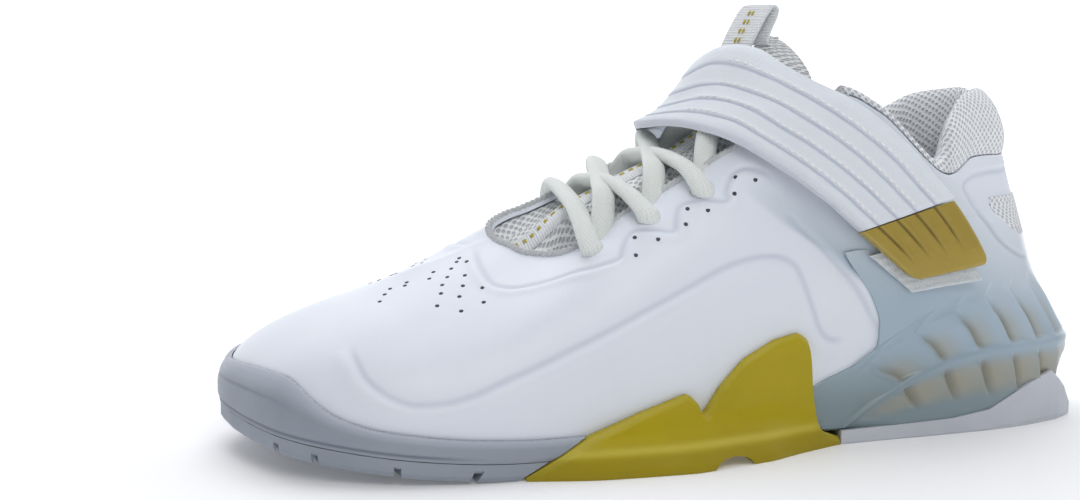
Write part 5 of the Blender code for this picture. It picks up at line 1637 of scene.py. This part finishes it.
    def build_wrap(self) -> None:
        """Gold plate with lobes: wall share and flare over the height, lobe over x."""
        outer, inner, marks = [], [], []
        x = np.linspace(self.wrap_top[0][0], self.wrap_top[-1][0], 260)[:, None]
        rows = np.linspace(0, 1, 60) ** 1.15
        middle, half, rise = self.wrap_arch
        arch = rise * np.clip(1 - ((x - middle) / half) ** 2, 0, 1) ** 0.5
        for k, side in enumerate(Side):
            theta = LAST.theta(LAST.station_at(x * LENGTH, side), side)
            top = table(self.wrap_top, x, soft=0.0022)[k] * self.wrap_height
            z = arch + (top - arch) * rows
            wall, spread = table(self.wrap_profile, z / self.tread, soft=0.16)
            flare = self.wrap_flare * table(self.wrap_spread, x, soft=0.008)[k]
            lip = smooth(0.0022, 0.0, top - z)
            lift = (wall - 0.45 * lip ** 2) * self.wrap_thickness + spread * flare + self.gap
            outer.append(LAST.wall(theta, z, lift))
            plate = np.minimum(self.tread - self.gap, top)
            inner.append(LAST.wall(theta, plate + (top - plate) * rows, self.gap))
            # The high mark is a painted highlight on the fold's ridge and along the top lip; the
            # low mark darkens towards the bottom.
            fold = bump(z, 0.0012, 1.42 * self.tread) * smooth(0.0, 0.004, flare)
            marks.append({"high": np.clip(fold + 0.6 * lip, 0, 1),
                          "low": smooth(0.011, 0.004, z) * (1 - fold)})
        place(self.trough(Body("gold_wrap"), outer, inner, marks), GOLD, "midfoot_wrap")

    def cage_point(self, side: Side, s: np.ndarray, row: np.ndarray) -> tuple:
        """Columns, heights and lift of the cage without its ribs.

        Args:
            side: which side.
            s: share from the cage's front to the heel centre.
            row: row of the table, in fractions.

        Returns:
            Loop parameter, height and lift.
        """
        rows = np.array(self.cage_rows)
        index = np.arange(len(rows))
        tight, loose = (np.stack([table(tuple(zip(index, c)), row, soft)[0] for c in rows.T])
                        for soft in (0.22, 0.85))
        shaped = (loose - tight) * smooth(4.5, 6.0, row)
        shaped[0] *= smooth(0.0, 0.15, s)
        shaped[1] = 0
        z_front, x_front, z_heel, inset, body, fin, steep = tight + shaped
        climb = 1 - (1 - np.clip((s - 0.05 * smooth(8.0, 7.0, row)) / 0.60, 0, 1)) ** steep
        z = (z_front + (z_heel - z_front) * climb) * HEIGHT
        rear = np.array(self.wrap_top[:6])
        back_edge = np.interp(z_front * HEIGHT, rear[:, 1] * self.wrap_height, rear[:, 0] * LENGTH)
        x_front = np.minimum(x_front * LENGTH, back_edge - 3 * self.gap)
        station = LAST.station_at(x_front, side) * (1 - s)
        theta = LAST.theta(station, side)
        back = np.clip(1 - station / 1.6, 0, 1)
        lift = (inset * LAST.inset(theta) * np.clip(s * 6, 0, 1) + body * self.cage_thickness
                + fin * self.rear_fin * back)
        return theta, z, lift

    def scales(self, s: np.ndarray, row: np.ndarray) -> tuple[np.ndarray, np.ndarray, np.ndarray]:
        """Relief and shades of the two rows of overlapping scales.

        A scale's lift grows along the foot as a saw tooth and drops at its rear edge; the
        teeth of both rows lean with the height, and a window holds each row.

        Args:
            s: share from the cage's front to the heel centre.
            row: row of the table, in fractions.

        Returns:
            Lift in metres, shade of the hollows and shade of the drops.
        """
        def tooth(phase: np.ndarray) -> np.ndarray:
            """Saw tooth that rises to 1 and falls over the last seventh of its pitch."""
            f = phase - np.floor(phase)
            return np.where(f < 0.86, f / 0.86, (1 - f) / 0.14)

        ends = smooth(0.07, 0.2, s)
        lower = ends * smooth(1.0, 1.8, row) * smooth(2.9, 2.3, row)
        upper = ends * smooth(3.5, 4.2, row) * smooth(8.2, 5.8, row)
        low_saw = tooth(s * self.ribs + 0.22 * (row - 1.5))
        high_saw = tooth(s * self.ribs + 0.45 + 0.16 * (row - 5))
        rib = self.rib_rise * (lower * (low_saw - 0.55) + 0.8 * upper * (high_saw - 0.55))
        recess = (lower * (1 - 0.45 * low_saw)
                  + 0.85 * upper * np.clip(1 - 1.4 * high_saw, 0, 1) * smooth(6.6, 4.8, row))
        shadow = (lower * np.clip(1 - 3 * low_saw, 0, 1)
                  + 0.8 * upper * np.clip(1 - 4 * high_saw, 0, 1) * smooth(7.0, 5.0, row))
        return rib, np.clip(recess, 0, 1), np.clip(shadow, 0, 1)

    def build_cage(self) -> None:
        """Wedge and shell with their scales, feathered out on the upper."""
        outer, inner, marks = [], [], []
        s, row = np.meshgrid(np.linspace(0, 1, 300), np.linspace(0, 12, 120), indexing="ij")
        rib, recess, shadow = self.scales(s, row)
        feather = smooth(12.0, 10.8, row)
        for side in Side:
            theta, z, lift = self.cage_point(side, s, row)
            lift = np.maximum(lift * feather + rib, 0.0004 * feather) + 0.00005
            wall = LAST.wall(theta, z, lift)
            mark = {"fade": smooth(0.042, 0.098, icy_level(wall)),
                    "deep": smooth(0.036, 0.012, z), "recess": recess, "crease": shadow}
            if side is Side.OUTER:
                n = LAST.normal(theta, LAST.t_at(theta, z))
                d, share = line_field(wall, n, Upper.heel_panel)
                groove = bump(d, 0.0009) * smooth(0, 0.05, share)
                wall = wall - n * (0.0004 * groove)[..., None]
                # Painted shade in the heel panel's groove, added to the painted shadow of the
                # drops.
                mark["crease"] = np.maximum(shadow, 0.4 * groove)
            outer.append(wall)
            inner.append(LAST.wall(theta, np.maximum(z, LAST.bed(theta) - self.gap), -0.0004))
            marks.append(mark)
        place(self.trough(Body("cage_shell", sharp=50.0), outer, inner, marks), CAGE, "heel_cage")

    def build_window(self) -> None:
        """Small mesh window in the heel panel, on both sides: a sheet over the wall."""
        stations, window = np.linspace(0.1, 2.0, 500), packed(self.window)
        height = np.linspace(window[0, 2], window[-1, 2], 26)
        share = np.linspace(0, 1, 26)[None]
        body = Body("heel_window")
        for side in Side:
            plans = (LAST.wall(stations, z, 0.0)[:, :2] - (x, y) for x, y, z in window)
            starts = [stations[(plan ** 2).sum(1).argmin()] for plan in plans]
            start = np.interp(-height, -window[:, 2], starts)[:, None]
            s = start * (1 - share) + self.window_rear * share
            theta, z = LAST.theta(s, side), height[:, None] + 0 * s
            lift = np.interp(z, (0.065, 0.080), (0.0012, 0.0006))
            lift = lift - 0.0004 * (1 - smooth(0, 0.12, share) * smooth(1, 0.9, share))
            body.slab(LAST.wall(theta, z, lift - 0.0008), LAST.wall(theta, z, lift))
        place(body, KNIT)

    def build_insole(self) -> None:
        """Sock liner: the bed's outline, set in by the wall, with a soft dished top."""
        thetas = [LAST.theta(np.linspace(0, STATIONS, 160), side) for side in Side]
        low, top = (self.across(*(LAST.wall(theta, LAST.bed(theta) + rise, -inset)
                                  for theta in thetas), 24)
                    for rise, inset in ((self.gap, 0.0033), (0.0041, 0.0040)))
        top[..., 2] -= 0.00072 * np.sin(np.linspace(0, math.pi, 24))[None]
        place(Body("sock_liner_bed").slab(low, top), LINER, "insole")


@dataclass
class Studio:
    """Pale glowing floor swept up behind, soft lamps and the photograph's camera."""

    camera_at: tuple = (0.2543, 0.4849, 0.1319)
    yaw: float = math.radians(193.29)
    pitch: float = math.radians(7.80)
    roll: float = math.radians(0.25)
    focal: float = 1500.0
    lamps: tuple = (
        ("key", (0.15, 0.95, 1.05), (0.06, 0.0, 0.04), 0.8, 5.0, (1.0, 0.99, 0.97)),
        ("top", (0.15, -0.35, 1.2), (0.08, 0.0, 0.0), 1.2, 7.0, (0.95, 0.96, 1.0)),
        ("rear", (-0.95, 0.30, 0.65), (0.0, 0.0, 0.05), 0.8, 1.5, (0.93, 0.96, 1.0)))

    def build(self) -> None:
        """Place the camera, the lamps and the floor."""
        self.build_camera()
        self.build_lamps()
        self.build_floor()

    def build_camera(self) -> None:
        """Camera from its yaw, pitch and roll, with the focal length in pixels of 1080."""
        forward = np.array([math.sin(self.yaw) * math.cos(self.pitch),
                            math.cos(self.yaw) * math.cos(self.pitch), -math.sin(self.pitch)])
        right = np.array([math.cos(self.yaw), -math.sin(self.yaw), 0.0])
        down = np.cross(forward, right)
        c, s = math.cos(self.roll), math.sin(self.roll)
        right, down = c * right + s * down, -s * right + c * down
        data = bpy.data.cameras.new("photo_camera")
        data.sensor_width, data.lens = 36.0, self.focal / 1080 * 36.0
        data.clip_start = 0.01
        camera = bpy.data.objects.new("photo_camera", data)
        matrix = np.eye(4)
        matrix[:3, 0], matrix[:3, 1], matrix[:3, 2] = right, -down, -forward
        matrix[:3, 3] = self.camera_at
        camera.matrix_world = Matrix(matrix.tolist())
        bpy.context.scene.collection.objects.link(camera)
        bpy.context.scene.camera = camera

    def build_lamps(self) -> None:
        """Area lamps that look at the shoe, and a bright even sky."""
        for name, at, target, size, power, colour in self.lamps:
            data = bpy.data.lights.new(name, "AREA")
            data.shape, data.size, data.energy, data.color = "DISK", size, power, colour
            lamp = bpy.data.objects.new(name, data)
            at, target = np.array(at), np.array(target)
            z = unit(at - target)
            x = unit(np.cross((0.0, 0.01, 1.0), z))
            matrix = np.eye(4)
            matrix[:3, 0], matrix[:3, 1], matrix[:3, 2], matrix[:3, 3] = x, np.cross(z, x), z, at
            lamp.matrix_world = Matrix(matrix.tolist())
            bpy.context.scene.collection.objects.link(lamp)
        world = bpy.data.worlds.new("studio")
        world.use_nodes = True
        sky = world.node_tree.nodes["Background"]
        sky.inputs["Color"].default_value = (0.93, 0.95, 1.0, 1)
        sky.inputs["Strength"].default_value = 0.30
        bpy.context.scene.world = world
        bpy.context.scene.view_settings.view_transform = "Standard"

    def build_floor(self) -> None:
        """Sweep: level floor, then a quarter circle up to a wall behind. It glows, faintly near the
        shoe and brighter further off, so the shoe keeps a soft shadow on a bright backdrop.
        """
        bend = np.linspace(0.05, math.pi / 2, 24)
        y = np.concatenate([np.linspace(3.0, -1.4, 24), -1.4 - 1.2 * np.sin(bend),
                            np.full(6, -2.6)])
        z = np.concatenate([np.zeros(24), 1.2 - 1.2 * np.cos(bend), np.linspace(1.3, 3.5, 6)])
        x = np.linspace(-5, 5, 12) + HEEL_CENTRE
        points = np.stack(np.broadcast_arrays(x[:, None], y[None], z[None]), -1)
        made = bpy.data.materials.new("glowing_paper_sweep")
        made.use_nodes = True
        w = Wiring(made.node_tree)
        shader = made.node_tree.nodes["Principled BSDF"]
        given = w.node("ShaderNodeTexCoord")
        w.put(shader.inputs["Base Color"], w.mix(w.noise(given.outputs["Object"], 3.0),
                                                 (0.90, 0.90, 0.91, 1), (0.93, 0.93, 0.94, 1)))
        shader.inputs["Roughness"].default_value = 0.9
        shader.inputs["Emission Color"].default_value = (1.0, 1.0, 1.0, 1)
        away = w.node("ShaderNodeVectorMath", operation="LENGTH")
        w.put(away.inputs[0], given.outputs["Object"])
        # The floor glows: faintly near the shoe, brighter further off.
        w.put(shader.inputs["Emission Strength"],
              w.math("MULTIPLY_ADD", w.ramp(away.outputs["Value"], 0.25, 1.3), 0.75, 0.10))
        Body("glowing_paper_floor", outward=False).grid(points).build(made)


def main() -> None:
    """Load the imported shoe, dress every piece and light it."""
    logging.basicConfig(level=logging.INFO, format="%(name)s: %(message)s")
    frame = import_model()
    nodes = frame["nodes"]
    for name, finish in (("outsole_forefoot", CUP), ("outsole_heel", PLATE)):
        node = nodes[name]
        node.data.materials.clear()
        node.data.materials.append(finish.make())
    Upper().build()
    Sole().build()
    Collar().build()
    Tongue().build(nodes["tongue"])
    Laces().build()
    Strap().build(nodes)
    Studio().build()


if __name__ == "__main__":
    main()
